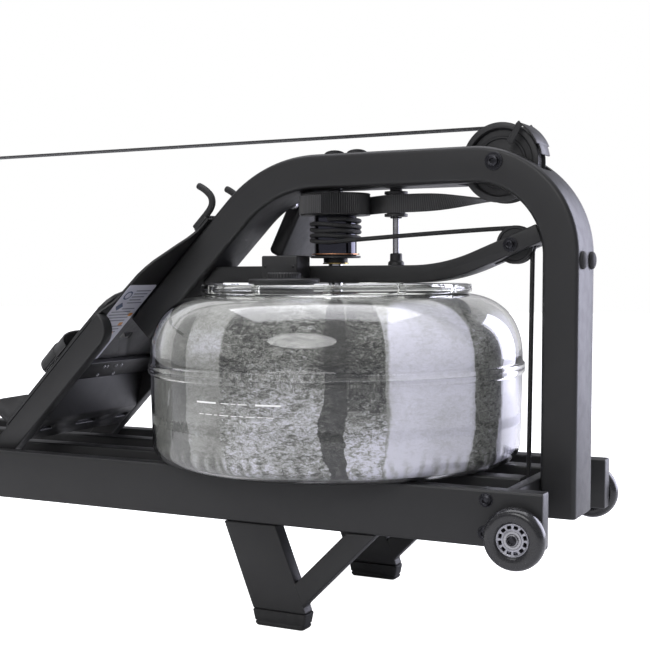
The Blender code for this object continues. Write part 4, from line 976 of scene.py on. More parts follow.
def water_look():
    """Whirled water: streaks of foam, with tall arched panes of painted lamp reflection in its colour."""
    look = Look("water_foam_and_painted_reflections", (0.5, 0.5, 0.5), 0.30, Specular_IOR_Level=0.25)
    centre = at(TANK, 0, 0)
    local = look.add("Mapping", Vector=look.place, Location=tuple(-centre)).outputs["Vector"]
    split = look.add("SeparateXYZ", Vector=local)
    turn = look.times(look.maths("ARCTAN2", split.outputs["Y"], split.outputs["X"]), 180 / math.pi)
    height = split.outputs["Z"]
    soft = look.noise(8.0, 5.0, 0.9, local)
    flat = look.add("Mapping", Vector=local, Scale=(1.0, 1.0, 2.3)).outputs["Vector"]
    curls = look.noise(72.0, 10.0, 1.3, flat, 0.66)
    streaks = look.noise(120.0, 7.0, 0.9, flat, 0.66)
    fizz = look.noise(430.0, 3.0, 0.0, local, 0.6)
    drift = look.minus(look.noise(9.0, 5.0, 0.6, local, 0.6), 0.5)
    drift = look.times(drift, look.span(height, 0.150, 0.040, 2.0, 17.0))
    turn = look.plus(turn, drift)
    tone, busy = 0.56, 0.22
    # Two tones that grow darker towards the top.
    fade_to_top = look.span(height, 0.100, 0.160, 0.58, 0.20)
    steep_fade_to_top = look.span(height, 0.025, 0.135, 0.84, 0.12)
    # Each row is a tall arched pane round the tank: start and end turn, top height, tone level and stir. The
    # bright panes are painted reflections of the studio's lamps, and stir sets how strongly the foam streaks
    # show.
    for start, end, top, level, stir in (
            (-133, -120, 0.205, 0.52, 0.12), (-120, -112, 0.205, 0.34, 0.16), (-112, -98, 0.218, 0.60, 0.20),
            (-98, -66, 0.222, fade_to_top, 0.58), (-67, -61, 0.228, 0.04, 0.56), (-61, -50, 0.222, steep_fade_to_top, 0.66),
            (-49, -21, 0.222, 0.86, 0.12), (-21, -8, 0.214, 0.42, 0.34), (-8, 14, 0.208, 0.82, 0.08)):
        across = look.maths("DIVIDE", look.minus(turn, (start + end) / 2), (end - start) / 2)
        sides = look.maths("POWER", look.maths("ABSOLUTE", across), 6.0)
        above = look.maths("MAXIMUM", look.maths("DIVIDE", look.minus(height, top - 0.045), 0.045), 0.0)
        edge = look.plus(sides, look.times(above, above))
        edge = look.plus(edge, look.times(look.minus(soft, 0.5), 0.9 * stir))
        inside = look.span(edge, 0.66, 1.30, 1.0, 0.0)
        tone = look.span(inside, 0.0, 1.0, tone, level)
        busy = look.span(inside, 0.0, 1.0, busy, stir)
    foam = look.plus(look.times(curls, 0.5), look.times(streaks, 0.5))
    stirred = look.plus(look.span(foam, 0.36, 0.66, -0.5, 0.5), look.minus(fizz, 0.5))
    threads = look.span(look.maths("ABSOLUTE", look.minus(curls, 0.5)), 0.0, 0.030, 0.50, 0.0)
    stirred = look.plus(stirred, threads)
    level = look.plus(tone, look.times(stirred, busy))
    level = look.plus(level, look.times(look.minus(soft, 0.5), 0.80))
    ripple = look.maths("SINE", look.plus(look.times(turn, 1.5), look.times(soft, 9.0)))
    level = look.plus(level, look.times(look.span(height, 0.040, 0.018, 0.0, 0.16), ripple))
    # The lightest stop carries the lamps' lavender tint, for the painted reflections.
    look.colour(look.ramp(level, [(0.0, (0.010, 0.010, 0.010)), (0.30, (0.070, 0.073, 0.066)),
                                  (0.60, (0.27, 0.275, 0.26)), (1.0, (0.70, 0.70, 0.80))]))
    return look.bump(foam, 0.12, 0.0015)


def make_tank():
    centre = at(TANK, 0, GAP)
    wall = 0.0040
    shell = clear_shell("tank_clear", (0.985, 0.985, 0.985), 0.0)
    low = [(0.0, 0.0), (0.232, 0.0)] + quarter((0.232, 0.0265), 0.0265, -90, 0, 10)[1:]
    low += [(0.2603, 0.1215)] + quarter((0.2617, 0.1248), 0.0018, -60, 0, 3)
    low += [(0.2635, 0.1296), (0.2631, 0.1302)]
    low += [(0.2565, 0.1302)] + quarter((0.232, 0.0265), 0.0225, 0, -90, 10) + [(0.0, wall)]
    bm = bmesh.new()
    turned_profile(bm, low, centre, UPRIGHT, 144)
    put("tank_lower", bm, shell, "frame", ["tank_lower_shell"], sharp=40)
    steps = 22
    outer = [shoulder(step / steps) for step in range(steps + 1)]
    inside = [shoulder(step / steps, wall) for step in range(steps + 1)]
    bore = 0.0125
    upper = [(0.2565, 0.1306), (0.2631, 0.1306), (0.2635, 0.1312)]
    upper += quarter((0.2617, 0.1356), 0.0018, 0, 60, 3)
    upper += outer + [(0.187, TANK_TOP + 0.0001), (bore, TANK_TOP)] + [(bore, TANK_TOP - wall)] + inside[::-1]
    bm = bmesh.new()
    turned_profile(bm, upper, centre, UPRIGHT, 144)
    put("tank_upper", bm, shell, "frame", ["tank_upper_shell"], sharp=40)
    ring = [(0.168, 0.2326)] + quarter((0.1828, 0.2388), 0.0062, -90, 90, 14) + [(0.170, 0.2450)]
    bm = bmesh.new()
    turned_profile(bm, ring, centre, UPRIGHT, 144)
    for step in range(12):
        angle = math.radians(-97 + 30 * step)
        out = Vector((math.cos(angle), math.sin(angle), 0))
        along = Vector((-out.y, out.x, 0))
        rings = [[centre + out * (0.1884 + push) + along * a + Vector((0, 0, 0.2388 + b))
                  for a, b in section(0.010 - shrink, 0.0110 - shrink, 0.001)]
                 for push, shrink in ((-0.006, 0.0), (0.0006, 0.0), (0.0013, 0.0016))]
        bridge(bm, rings)
    put("tank_ring", bm, clear_shell("ring_clear", (0.93, 0.94, 0.92), 0.02), "frame", ["tank_collar"])
    gap = 0.0012
    water = [(0.0, 0.0052), (0.230, 0.0052)] + quarter((0.232, 0.0265), 0.0225 - gap, -84, 0, 8)
    water += [(0.2565 - gap, 0.060), (0.2565 - gap, 0.100), (0.2565 - gap, 0.1365)]
    water += [shoulder(step / steps, wall + gap) for step in range(steps + 1)]
    water += [(0.0150, TANK_TOP - wall - gap), (0.0145, 0.2240), (0.0145, 0.0195), (0.0, 0.0195)]
    bm = bmesh.new()
    turned_profile(bm, water, centre, UPRIGHT, 180)
    put("whirled_water", bm, water_look(), "frame", sharp=60)


def make_level_marks():
    """Plain lines for the fill level, and thin dashes where small print would be."""
    ink = Look("level_ink", (0.92, 0.92, 0.92), 0.45)
    ink.rough(ink.span(ink.noise(700.0), 0.3, 0.7, 0.4, 0.55))
    bm = bmesh.new()
    centre = at(TANK, 0, GAP)

    under, over = 0.26062, 0.26078

    def band(start, end, height, tall):
        rings = []
        steps = max(2, int((end - start) / 0.8))
        for step in range(steps + 1):
            angle = math.radians(start + (end - start) * step / steps)
            out = Vector((math.cos(angle), math.sin(angle), 0))
            corners = ((under, height), (over, height), (over, height + tall), (under, height + tall))
            rings.append([centre + out * r + Vector((0, 0, h)) for r, h in corners])
        bridge(bm, rings)

    band(-106.0, -98.8, 0.0985, 0.0022)
    band(-86.0, -78.6, 0.0985, 0.0022)
    for start, long in ((-97.0, 2.6), (-93.6, 1.5), (-91.3, 2.8)):
        band(start, start + long, 0.0990, 0.0010)
    place = -105.0
    for long in (1.6, 2.4, 1.1, 3.0, 1.9, 1.3, 2.7, 1.8, 2.2):
        band(place, place + long, 0.0842, 0.0009)
        place += long + 0.8
    put("level_marks", bm, ink, "frame", sharp=30)


def make_filler():
    bm = bmesh.new()
    centre = at(-0.3715, -0.112, GAP)
    body = [(0.0, 0.2326), (0.038, 0.2326), (0.040, 0.2340), (0.040, 0.2458), (0.0472, 0.2462),
            (0.0475, 0.2476), (0.0475, 0.2512), (0.0462, 0.2527), (0.0330, 0.2530), (0.0322, 0.2522),
            (0.0300, 0.2522), (0.0292, 0.2530), (0.0225, 0.2532), (0.0223, 0.2598), (0.0208, 0.2610),
            (0.0150, 0.2606), (0.0, 0.2606)]

    def knurl(angle, r, h):
        return 0.0007 * math.sin(36 * angle) if 0.0205 < r < 0.0226 and 0.2535 < h < 0.2605 else 0.0

    turned_profile(bm, body, centre, UPRIGHT, 216, knurl)
    put("filler_knob", bm, PLASTIC, "filler", ["filler_cap"])


def make_sensor():
    bm = bmesh.new()
    rounded_box(bm, at(-0.433, -0.065, 0.2545), at(-0.377, -0.0253, 0.2845), 0.0022)
    for x in (-0.427, -0.383):
        button_head(bm, at(x, -0.0648, 0.2695), (0, -1, 0), 0.0022, 0.0012, 0.4)
    put("sensor_case", bm, PLASTIC, "frame", ["sensor_box"])


def make_paddle():
    bm = bmesh.new()
    centre = at(TANK, 0, 0)
    for blade in range(6):
        angle = math.pi * blade / 3
        out = Vector((math.cos(angle), math.sin(angle), 0))
        side = Vector((-out.y, out.x, 0))
        rings = []
        for reach, thick in ((0.020, 0.0036), (0.045, 0.0030), (0.150, 0.0024), (0.163, 0.0022),
                             (0.165, 0.0012)):
            bow = 0.0012 * math.sin(math.pi * reach / 0.165)
            rings.append([centre + out * reach + side * (a + bow) + Vector((0, 0, 0.074 + b))
                          for a, b in section(2 * thick, 0.088 - 2 * (0.0036 - thick), thick * 0.8)])
        bridge(bm, rings)
    turned_profile(bm, rounded([(0.0103, 0.026), (0.026, 0.026), (0.030, 0.034), (0.030, 0.114),
                                (0.026, 0.122), (0.0103, 0.122)], 0.002), centre, UPRIGHT, 48)
    put("paddle_wheel", bm, PLASTIC, "paddle", ["impeller"])
    bm = bmesh.new()
    collar(bm, centre, UPRIGHT, 0.0, 0.010, 0.020, 0.3754, 0.001)
    put("paddle_shaft", bm, CHROME, "paddle", ["impeller_shaft"])


# ---------------------------------------------------------------- drive
def make_drum():
    centre = at(TANK, 0, 0)
    bm = bmesh.new()
    ribs = 96

    def ribbed(angle, r, h):
        inside = 0.3415 < h < 0.3692 and r > 0.0465
        return 0.0007 * math.cos(ribs * angle) if inside else 0.0

    wound = [(0.0103, 0.3402), (0.0480, 0.3402), (0.0490, 0.3408), (0.0478, 0.3418), (0.0478, 0.3688),
             (0.0490, 0.3698), (0.0480, 0.3704), (0.0300, 0.3704), (0.0290, 0.3690), (0.0180, 0.3690),
             (0.0170, 0.3704), (0.0103, 0.3704)]
    turned_profile(bm, wound, centre, UPRIGHT, ribs * 4, ribbed)
    put("drum", bm, PLASTIC, "drum", ["belt_drum"])
    bm = bmesh.new()
    spool = rounded([(0.0104, 0.2845), (0.0290, 0.2845), (0.0295, 0.2855), (0.0295, 0.3395),
                     (0.0104, 0.3395)], 0.0006)
    turned_profile(bm, spool, centre, UPRIGHT, 72, material=0)
    collar(bm, centre, UPRIGHT, 0.0300, 0.0335, 0.2858, 0.2874, 0.0005, 72, 1)
    collar(bm, centre, UPRIGHT, 0.0104, 0.0350, 0.2812, 0.2842, 0.0007, 72, 2)
    turned_profile(bm, rounded([(0.0104, 0.2748), (0.0168, 0.2748), (0.0170, 0.2810), (0.0104, 0.2810)],
                               0.0006), centre, UPRIGHT, 48, material=2)
    collar(bm, centre, UPRIGHT, 0.0104, 0.0180, 0.2730, 0.2746, 0.0004, 48, 3)
    put("spool", bm, [BLACK_CHROME, COPPER, PLASTIC, BRASS], "drum", ["bungee_spool"])


def make_idler():
    centre = at(*IDLER, 0)
    base, end = BEAM_TOP + GAP, ARCH_TOP - ARCH_DEPTH - GAP
    bm = bmesh.new()
    bush = [(0.0, base), (0.0112, base), (0.0110, base + 0.0035), (0.0098, base + 0.0052),
            (0.0085, base + 0.0062), (0.0083, base + 0.0150), (0.0074, base + 0.0162), (0.0, base + 0.0162)]
    turned_profile(bm, bush, centre, UPRIGHT, 40, material=1)
    collar(bm, centre, UPRIGHT, 0.0, 0.0046, base + 0.0160, end, 0.0003, 32)
    for low, high, reach in ((0.3350, 0.3366, 0.0080), (0.3724, end, 0.0085)):
        collar(bm, centre, UPRIGHT, 0.0047, reach, low, high, 0.0004, 32, 1)
    put("idler_post", bm, [STEEL, PLASTIC], "frame", ["idler_shaft"])
    bm = bmesh.new()
    ribs = 30

    def ribbed(angle, r, h):
        return 0.00025 * math.cos(ribs * angle) if 0.0120 < r < 0.0130 else 0.0

    roller = [(0.0051, 0.3372), (0.0155, 0.3372), (0.0160, 0.3377), (0.0160, 0.3407), (0.0155, 0.3412),
              (0.0126, 0.3416), (0.0126, 0.3672), (0.0155, 0.3676), (0.0160, 0.3681), (0.0160, 0.3713),
              (0.0155, 0.3718), (0.0051, 0.3718)]
    turned_profile(bm, roller, centre, UPRIGHT, ribs * 4, ribbed)
    put("idler_wheel", bm, PLASTIC, "idler", ["idler_roller"])


def make_pulleys():
    bm = bmesh.new()
    half = [(0.0053, 0.0165), (0.0125, 0.0165), (0.0140, 0.0158), (0.0150, 0.0120), (0.0175, 0.0105),
            (0.0300, 0.0105), (0.0312, 0.0118), (0.0335, 0.0118), (0.0345, 0.0105), (0.0420, 0.0105),
            (0.0432, 0.0150), (0.0445, 0.0163), (0.0505, 0.0165), (0.0516, 0.0158), (0.0516, 0.0146),
            (0.0505, 0.0139), (0.0452, 0.0132)]
    turned_profile(bm, [(r, -h) for r, h in half] + half[::-1], midway(TOP_PULLEY), ACROSS, 96)
    put("belt_pulley", bm, PLASTIC, "top_pulley", ["top_pulley"])
    for name, body, place, rim, groove, bore in (
            ("cord_pulley", "bungee_pulley", CORD_PULLEY, 0.025, 0.0185, 0.0053),
            ("low_cord_pulley", "lower_pulley", LOW_PULLEY, 0.021, 0.0145, 0.0)):
        profile = [(bore, -0.0080), (0.0090, -0.0080), (0.0098, -0.0068), (rim - 0.0045, -0.0068),
                   (rim - 0.0035, -0.0080), (rim - 0.0006, -0.0080), (rim, -0.0074)]
        middle = [(rim - (rim - groove) * math.sin(math.pi * n / 12), -0.0056 * math.cos(math.pi * n / 12))
                  for n in range(13)]
        bm = bmesh.new()
        centre = midway(place)
        turned_profile(bm, profile + middle + [(r, -h) for r, h in profile[::-1]], centre, ACROSS, 72)
        if bore == 0.0:
            reach = INNER_RAIL_Y - 0.015 - GAP
            for low, high in ((-reach, -0.0079), (0.0079, reach)):
                collar(bm, centre, ACROSS, 0.0, 0.0055, low, high, 0.0, 24)
        put(name, bm, PLASTIC, body, [body])
    for name, place, half, big in (("top_pulley_axle", TOP_PULLEY, 0.040, 0.0118),
                                   ("bungee_pulley_axle", CORD_PULLEY, 0.025, 0.0095)):
        bm = bmesh.new()
        centre, reach = midway(place), half + GAP
        collar(bm, centre, ACROSS, 0.0, 0.0050, -reach, reach, 0.0, 32, 1)
        for sign in (-1, 1):
            axis = (0, sign, 0)
            face = centre + Vector((0, sign * (reach + 0.0001), 0))
            washer(bm, face, axis, 0.0049, big, 0.0014)
            head = face + Vector((0, sign * 0.0015, 0))
            collar(bm, head, axis, 0.0049, big * 0.72, 0.0, 0.0010, 0.0003)
            button_head(bm, head + Vector((0, sign * 0.0011, 0)), axis, big * 0.60, 0.0055, 0.55, 0, 0.75)
        put(f"{name}_bolt", bm, [BLACK_OXIDE, STEEL], "frame", [name])


def make_guard():
    """The bent strap over the top pulley that keeps the belt on it."""
    centre = (RAIL_FRONT + TOP_PULLEY[0], RAIL_TOP + TOP_PULLEY[1])
    inner, outer = 0.0546, 0.0570
    bm = bmesh.new()
    for start, end, half in ((22, 58, 0.0275), (8, 22.5, 0.0185)):
        corners = ((inner, -half), (outer, -half), (outer, half), (inner, half))
        rings = []
        for step in range(13):
            angle = math.radians(start + (end - start) * step / 12)
            rings.append([Vector((centre[0] + r * math.cos(angle), y, centre[1] + r * math.sin(angle)))
                          for r, y in corners])
        bridge(bm, rings)
    route = [(-0.0895, 0.4250), (-0.0850, 0.4320), (-0.0800, 0.4410), (-0.0770, 0.4470), (-0.0740, 0.4495)]
    ear = section(0.0085, 0.0030, 0.0013, 2)
    for sign in (-1, 1):
        points = smooth_path([at(x, sign * 0.0260, z) for x, z in route], 0.002)
        rings = []
        for index, point in enumerate(points):
            across = heading(points, index).cross(Vector(ACROSS))
            rings.append([point + across * a + Vector((0, b, 0)) for a, b in ear])
        bridge(bm, rings)
    guard = soften(finish_mesh("pulley_guard", bm, PAINT), 0.0006, 2)
    settle(guard, "frame", ["belt_guard"])


def make_belt():
    up = Vector(UPRIGHT)
    drum, idler = Vector((TANK, 0.0)), Vector(IDLER)
    lead = math.atan2(idler.y - drum.y, idler.x - drum.x)
    idler_radius = 0.0141
    bearing = lead - math.asin((DRUM_RADIUS + idler_radius) / (idler - drum).length)
    leave = math.degrees(bearing) + 90
    stations = []
    for step in range(49):
        angle = math.radians(leave + 220 - 220 * step / 48)
        out = Vector((math.cos(angle), math.sin(angle), 0))
        stations.append((at(drum.x, drum.y, BELT_LOW) + out * (DRUM_RADIUS + 0.0009), up, out))
    for step in range(9):
        angle = math.radians(leave - 180 - (leave - 90) * step / 8)
        out = Vector((math.cos(angle), math.sin(angle), 0))
        stations.append((at(idler.x, idler.y, BELT_LOW) + out * idler_radius, up, -out))
    start = at(IDLER[0] + 0.006, 0, BELT_LOW)
    end = at(TOP_PULLEY[0], 0, TOP_PULLEY[1] - TOP_BELT_RADIUS)
    for step in range(1, 37):
        part = step / 36
        twist = math.pi / 2 * part * part * (3 - 2 * part)
        stations.append((start.lerp(end, part), (0, -math.sin(twist), math.cos(twist)),
                         (0, math.cos(twist), math.sin(twist))))
    for step in range(1, 41):
        angle = math.radians(-90 + 180 * step / 40)
        out = Vector((math.cos(angle), 0, math.sin(angle)))
        stations.append((midway(TOP_PULLEY) + out * TOP_BELT_RADIUS, (0, -1, 0), -out))
    bm = bmesh.new()
    strip(bm, stations, BELT_WIDTH, BELT_THICKNESS)
    put("belt_round_pulleys", bm, BELT, "frame", ["drive_belt_wrap"], sharp=50)
    level = TOP_PULLEY[1] + TOP_BELT_RADIUS
    front, rear = TOP_PULLEY[0] - GAP, HANDLE + 0.0618
    bm = bmesh.new()
    strip(bm, [(at(front + (rear - front) * n / 60, 0, level), ACROSS, UPRIGHT) for n in range(61)],
          BELT_WIDTH, BELT_THICKNESS)
    run = put("belt_to_handle", bm, BELT, None, ["drive_belt_run"], sharp=50)
    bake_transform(run)


def make_cord():
    turns, per_turn, coil, pitch, low = 4, 24, 0.0335, 0.0078, 0.3035
    lean = math.asin(coil / (CORD_PULLEY[0] - TANK))
    leave = -math.pi / 2 + lean
    points = []
    for step in range(turns * per_turn + 1):
        angle = leave + 2 * math.pi * (step / per_turn - turns)
        uneven = 0.0007 * math.sin(step * 0.37) + 0.0004 * math.sin(step * 0.91)
        points.append(at(TANK + coil * math.cos(angle), coil * math.sin(angle),
                         low + pitch * (turns - step / per_turn) + uneven))
    wheel, low_wheel = 0.0222, 0.0182
    last, goal = points[-1], at(CORD_PULLEY[0], 0, CORD_PULLEY[1] + wheel)
    for part in (0.06, 0.12, 0.22, 0.35, 0.48, 0.60, 0.73, 0.85):
        point = last.lerp(goal, part)
        point.z = last.z + (goal.z - last.z) * (1 - (1 - part) ** 1.2)
        points.append(point)
    for step in range(13):
        angle = math.radians(90 - 89 * step / 12)
        points.append(at(CORD_PULLEY[0] + wheel * math.cos(angle), 0,
                         CORD_PULLEY[1] + wheel * math.sin(angle)))
    high_x, low_x = CORD_PULLEY[0] + wheel, LOW_PULLEY[0] + low_wheel
    drop = CORD_PULLEY[1] - LOW_PULLEY[1]
    for dz in (0.22, 0.14, 0.06):
        points.append(at(high_x + (low_x - high_x) * (CORD_PULLEY[1] - dz) / drop, 0, dz))
    for step in range(13):
        angle = math.radians(-90 * step / 12)
        points.append(at(LOW_PULLEY[0] + low_wheel * math.cos(angle), 0,
                         LOW_PULLEY[1] + low_wheel * math.sin(angle)))
    for dx in (-0.30, -0.70, -1.10, -1.45, -1.6877):
        points.append(at(dx, 0, LOW_PULLEY[1] - low_wheel))
    bm = bmesh.new()
    round_cord(bm, points, 0.0031)
    put("return_cord", bm, BRAID, "frame", ["bungee_cord"], sharp=80)
    bm = bmesh.new()
    rounded_box(bm, at(-1.712, -0.0347, -0.0492), at(-1.688, 0.0347, -0.0120), 0.0015)
    put("cord_clamp", bm, STEEL, "frame", ["cord_anchor"])


# ---------------------------------------------------------------- handle
def make_handle():
    level = TOP_PULLEY[1] + TOP_BELT_RADIUS
    centre = at(HANDLE, 0, level)
    bm = bmesh.new()
    collar(bm, centre, ACROSS, 0.0, 0.0125, -0.240, 0.240, 0.001, 48)
    put("bar", bm, CHROME, "handle", ["handle_bar"])
    start, end = 0.080, 0.250

    def flutes(angle, r, h):
        return 0.00025 * math.cos(28 * angle) if r > 0.0157 and start + 0.013 < h < end - 0.012 else 0.0

    for side, sign in SIDES:
        outer = [(0.0128, start), (0.0148, start), (0.0156, start + 0.0008), (0.0160, start + 0.002),
                 (0.0160, start + 0.008), (0.0152, start + 0.009), (0.0152, start + 0.0105),
                 (0.0162, start + 0.0115)]
        steps = 34
        for step in range(steps + 1):
            part = step / steps
            swell = 0.0162 + 0.0011 * math.sin(math.pi * part)
            outer.append((swell - 0.0004 * (step % 2), start + 0.0120 + (end - start - 0.0220) * part))
        outer += [(0.0152, end - 0.0090), (0.0152, end - 0.0078), (0.0163, end - 0.0070),
                  (0.0166, end - 0.0055), (0.0162, end - 0.0020), (0.0148, end), (0.0, end), (0.0, 0.2403),
                  (0.0128, 0.2403)]
        bm = bmesh.new()
        turned_profile(bm, outer, centre, (0, sign, 0), 168, flutes)
        put(f"hand_grip_{side}", bm, RUBBER, "handle", [f"grip_{side}"])
    x, z = centre.x, centre.z
    bm = bmesh.new()
    outline = []
    for step in range(33):
        angle = math.radians(16 + 328 * step / 32)
        outline.append((x + 0.0170 * math.cos(angle), z + 0.0170 * math.sin(angle)))
    outline += [(x + a, z + b) for a, b in
                ((0.0245, -0.0045), (0.0618, -0.0045), (0.0618, 0.0045), (0.0245, 0.0045))]
    prism(bm, outline, -0.017, 0.017)
    clevis = finish_mesh("clevis", bm, PAINT)
    drill(clevis, centre, ACROSS, 0.0128, -0.03, 0.03, 48)
    pocket(clevis, (x + 0.0345, -0.0133, z - 0.0012), (x + 0.0660, 0.0133, z + 0.0012), 0.0005)
    soften(clevis, 0.0010, 2, 45)
    settle(clevis, "handle", ["belt_clevis"])
    bm = bmesh.new()
    for y in (-0.009, 0.009):
        for sign in (-1, 1):
            socket = 0.5 if sign > 0 else 0.0
            button_head(bm, (x + 0.050, y, z + sign * 0.0045), (0, 0, sign), 0.0036, 0.0018, socket)
    put("clevis_rivets", bm, BLACK_OXIDE, "handle")


# ---------------------------------------------------------------- seat
def seat_rings(base, layers, corner, draw, steps):
    """Outlines of the seat, stacked as (height, inset) layers; draw tightens the corners with the inset."""
    rings = []
    for height, inset in layers:
        ring = section(0.240 - 2 * inset, 0.300 - 2 * inset, corner - inset * draw, steps)
        rings.append([base + Vector((x, y, height)) for x, y in ring])
    return rings


def puff(pad, base):
    """Blows the cover up a little as cloth, held at its foot and along its seam."""
    pins = pad.vertex_groups.new(name="held")
    for vert in pad.data.vertices:
        dx, dy = abs(vert.co.x - base.x) / 0.117, abs(vert.co.y) / 0.147
        seam = base.z + 0.0300 < vert.co.z < base.z + 0.0340 and (dx ** 5 + dy ** 5) > 0.80
        if vert.co.z < base.z + 0.0135:
            pins.add([vert.index], 1.0, "REPLACE")
        elif seam:
            pins.add([vert.index], 0.75, "REPLACE")
    frames, most = 20, 0.0035
    cloth = pad.modifiers.new("cover", "CLOTH")
    cloth.settings.effector_weights.gravity = 0.0
    for key, value in (("mass", 0.3), ("use_pressure", True), ("uniform_pressure_force", 4.0),
                       ("vertex_group_mass", "held"), ("pin_stiffness", 1.0), ("tension_stiffness", 25.0),
                       ("compression_stiffness", 25.0), ("shear_stiffness", 12.0),
                       ("bending_stiffness", 1.5)):
        setattr(cloth.settings, key, value)
    cloth.point_cache.frame_start, cloth.point_cache.frame_end = 1, frames
    scene = bpy.context.scene
    scene.frame_start, scene.frame_end = 1, frames
    before = [vert.co.copy() for vert in pad.data.vertices]
    for number in range(1, frames + 1):
        scene.frame_set(number)
    apply_modifiers(pad)
    for vert, rest in zip(pad.data.vertices, before):
        move = vert.co - rest
        if move.length > most:
            vert.co = rest + move.normalized() * most
    scene.frame_set(1)


def dish(pad, base, allowed):
    """Presses in the sitter's hollows and the tailbone's notch, and keeps the pad below its height."""
    for vert in pad.data.vertices:
        high = max(0.0, (vert.co.z - base.z - 0.020) / 0.025)
        x, y = vert.co.x - base.x, vert.co.y
        for side in (-0.062, 0.062):
            far = ((x + 0.012) / 0.070) ** 2 + ((y - side) / 0.062) ** 2
            vert.co.z -= 0.0085 * high * math.exp(-far)
        vert.co.z -= 0.0060 * high * math.exp(-((y / 0.022) ** 2) - max(0.0, (x + 0.02) / 0.05) ** 2)
        vert.co.z += 0.0065 * high * math.exp(-(((x + 0.098) / 0.040) ** 2)) * math.exp(-((y / 0.110) ** 4))
    bpy.context.view_layer.update()
    top = max(vert.co.z for vert in pad.data.vertices) - base.z
    fixed = 0.012
    if top > allowed:
        for vert in pad.data.vertices:
            if vert.co.z > base.z + fixed:
                vert.co.z = base.z + fixed + (vert.co.z - base.z - fixed) * (allowed - fixed) / (top - fixed)


def make_cushion():
    pad_low, pad_high = 0.0513, 0.1013
    base = at(SEAT, 0, pad_low)
    bm = bmesh.new()
    layers = ((0.0, 0.0040), (0.0015, 0.0025), (0.0080, 0.0025), (0.0095, 0.0040))
    bridge(bm, seat_rings(base, layers, 0.066, 0.0, 10))
    put("seat_base", bm, PLASTIC, "seat")
    bm = bmesh.new()
    layers = ((0.0096, 0.0075), (0.0110, 0.0045), (0.0180, 0.0030), (0.0300, 0.0030), (0.0390, 0.0045),
              (0.0415, 0.0080), (0.0425, 0.0160))
    bridge(bm, seat_rings(base, layers, 0.067, 0.6, 8))
    pad = finish_mesh("seat_cushion", bm, VINYL, 60)
    remesh = pad.modifiers.new("even", "REMESH")
    remesh.mode = "VOXEL"
    remesh.voxel_size = 0.006
    bpy.context.view_layer.update()
    apply_modifiers(pad)
    puff(pad, base)
    dish(pad, base, pad_high - pad_low + 0.002)
    smooth = pad.modifiers.new("smooth", "CORRECTIVE_SMOOTH")
    smooth.use_only_smooth = True
    smooth.factor = 0.5
    smooth.iterations = 6
    fine = pad.modifiers.new("fine", "SUBSURF")
    fine.levels = fine.render_levels = 1
    bpy.context.view_layer.update()
    apply_modifiers(pad)
    if not pad.data.materials:
        pad.data.materials.append(VINYL.material)
    pad.data.shade_smooth()
    settle(pad, "seat", ["seat_pad"])


def make_carriage():
    half_x, half_y = 0.100, 0.078
    thick, bend, top, low = 0.0050, 0.0085, 0.0510, 0.0062

    def half_channel(inset):
        """The left half of the channel's section, moved inwards."""
        found = [(-half_y + inset, low), (-half_y + inset, top - bend)]
        for step in range(1, 8):
            angle = math.pi / 2 * step / 8
            found.append((-half_y + bend - (bend - inset) * math.cos(angle),
                          top - bend + (bend - inset) * math.sin(angle)))
        return found + [(-half_y + bend, top - inset)]

    outer, inner = half_channel(0.0), half_channel(thick)
    outline = outer + [(-y, z) for y, z in outer[::-1]] + [(-y, z) for y, z in inner] + inner[::-1]
    carriage = solid("carriage", [[at(SEAT + x, y, z) for y, z in outline] for x in (-half_x, half_x)])
    window = shifted(section(0.080, 0.018, 0.008, 6), SEAT, 0.026)
    for sign in (-1, 1):
        drill(carriage, at(SEAT + sign * ROLLER[0], 0, ROLLER[1]), ACROSS, 0.0054, -0.1, 0.1)
        carve(carriage, [[at(x, y, z) for x, z in window] for y in sorted((sign * 0.070, sign * 0.085))])
    soften(carriage, 0.0009, 2, 50)
    settle(carriage, "seat", ["seat_carriage"])
    tyre = rounded([(0.0110, 0.0395), (0.0180, 0.0395), (0.0200, 0.0415), (0.0200, 0.0585),
                    (0.0180, 0.0605), (0.0110, 0.0605), (0.0105, 0.0580), (0.0105, 0.0420)], 0.0010)
    for end, sign in (("front", 1), ("rear", -1)):
        bm = bmesh.new()
        centre = at(SEAT + sign * ROLLER[0], 0, ROLLER[1])
        for way in (-1, 1):
            axis = (0, way, 0)
            turned_profile(bm, tyre, centre, axis, 56)
            collar(bm, centre, axis, 0.0051, 0.0103, 0.0405, 0.0595, 0.0006, 40, 1)
            washer(bm, centre + Vector((0, way * half_y, 0)), axis, 0.0051, 0.0085, 0.0012, 1)
            hex_head(bm, centre + Vector((0, way * (half_y + 0.0013), 0)), axis, 0.0072, 0.0044, 1)
        collar(bm, centre, ACROSS, 0.0, 0.0050, -0.084, 0.084, 0.0006, 28, 1)
        put(f"seat_rollers_{end}", bm, [POLYURETHANE, STEEL], f"seat_{end}_wheels", [f"seat_wheels_{end}"])


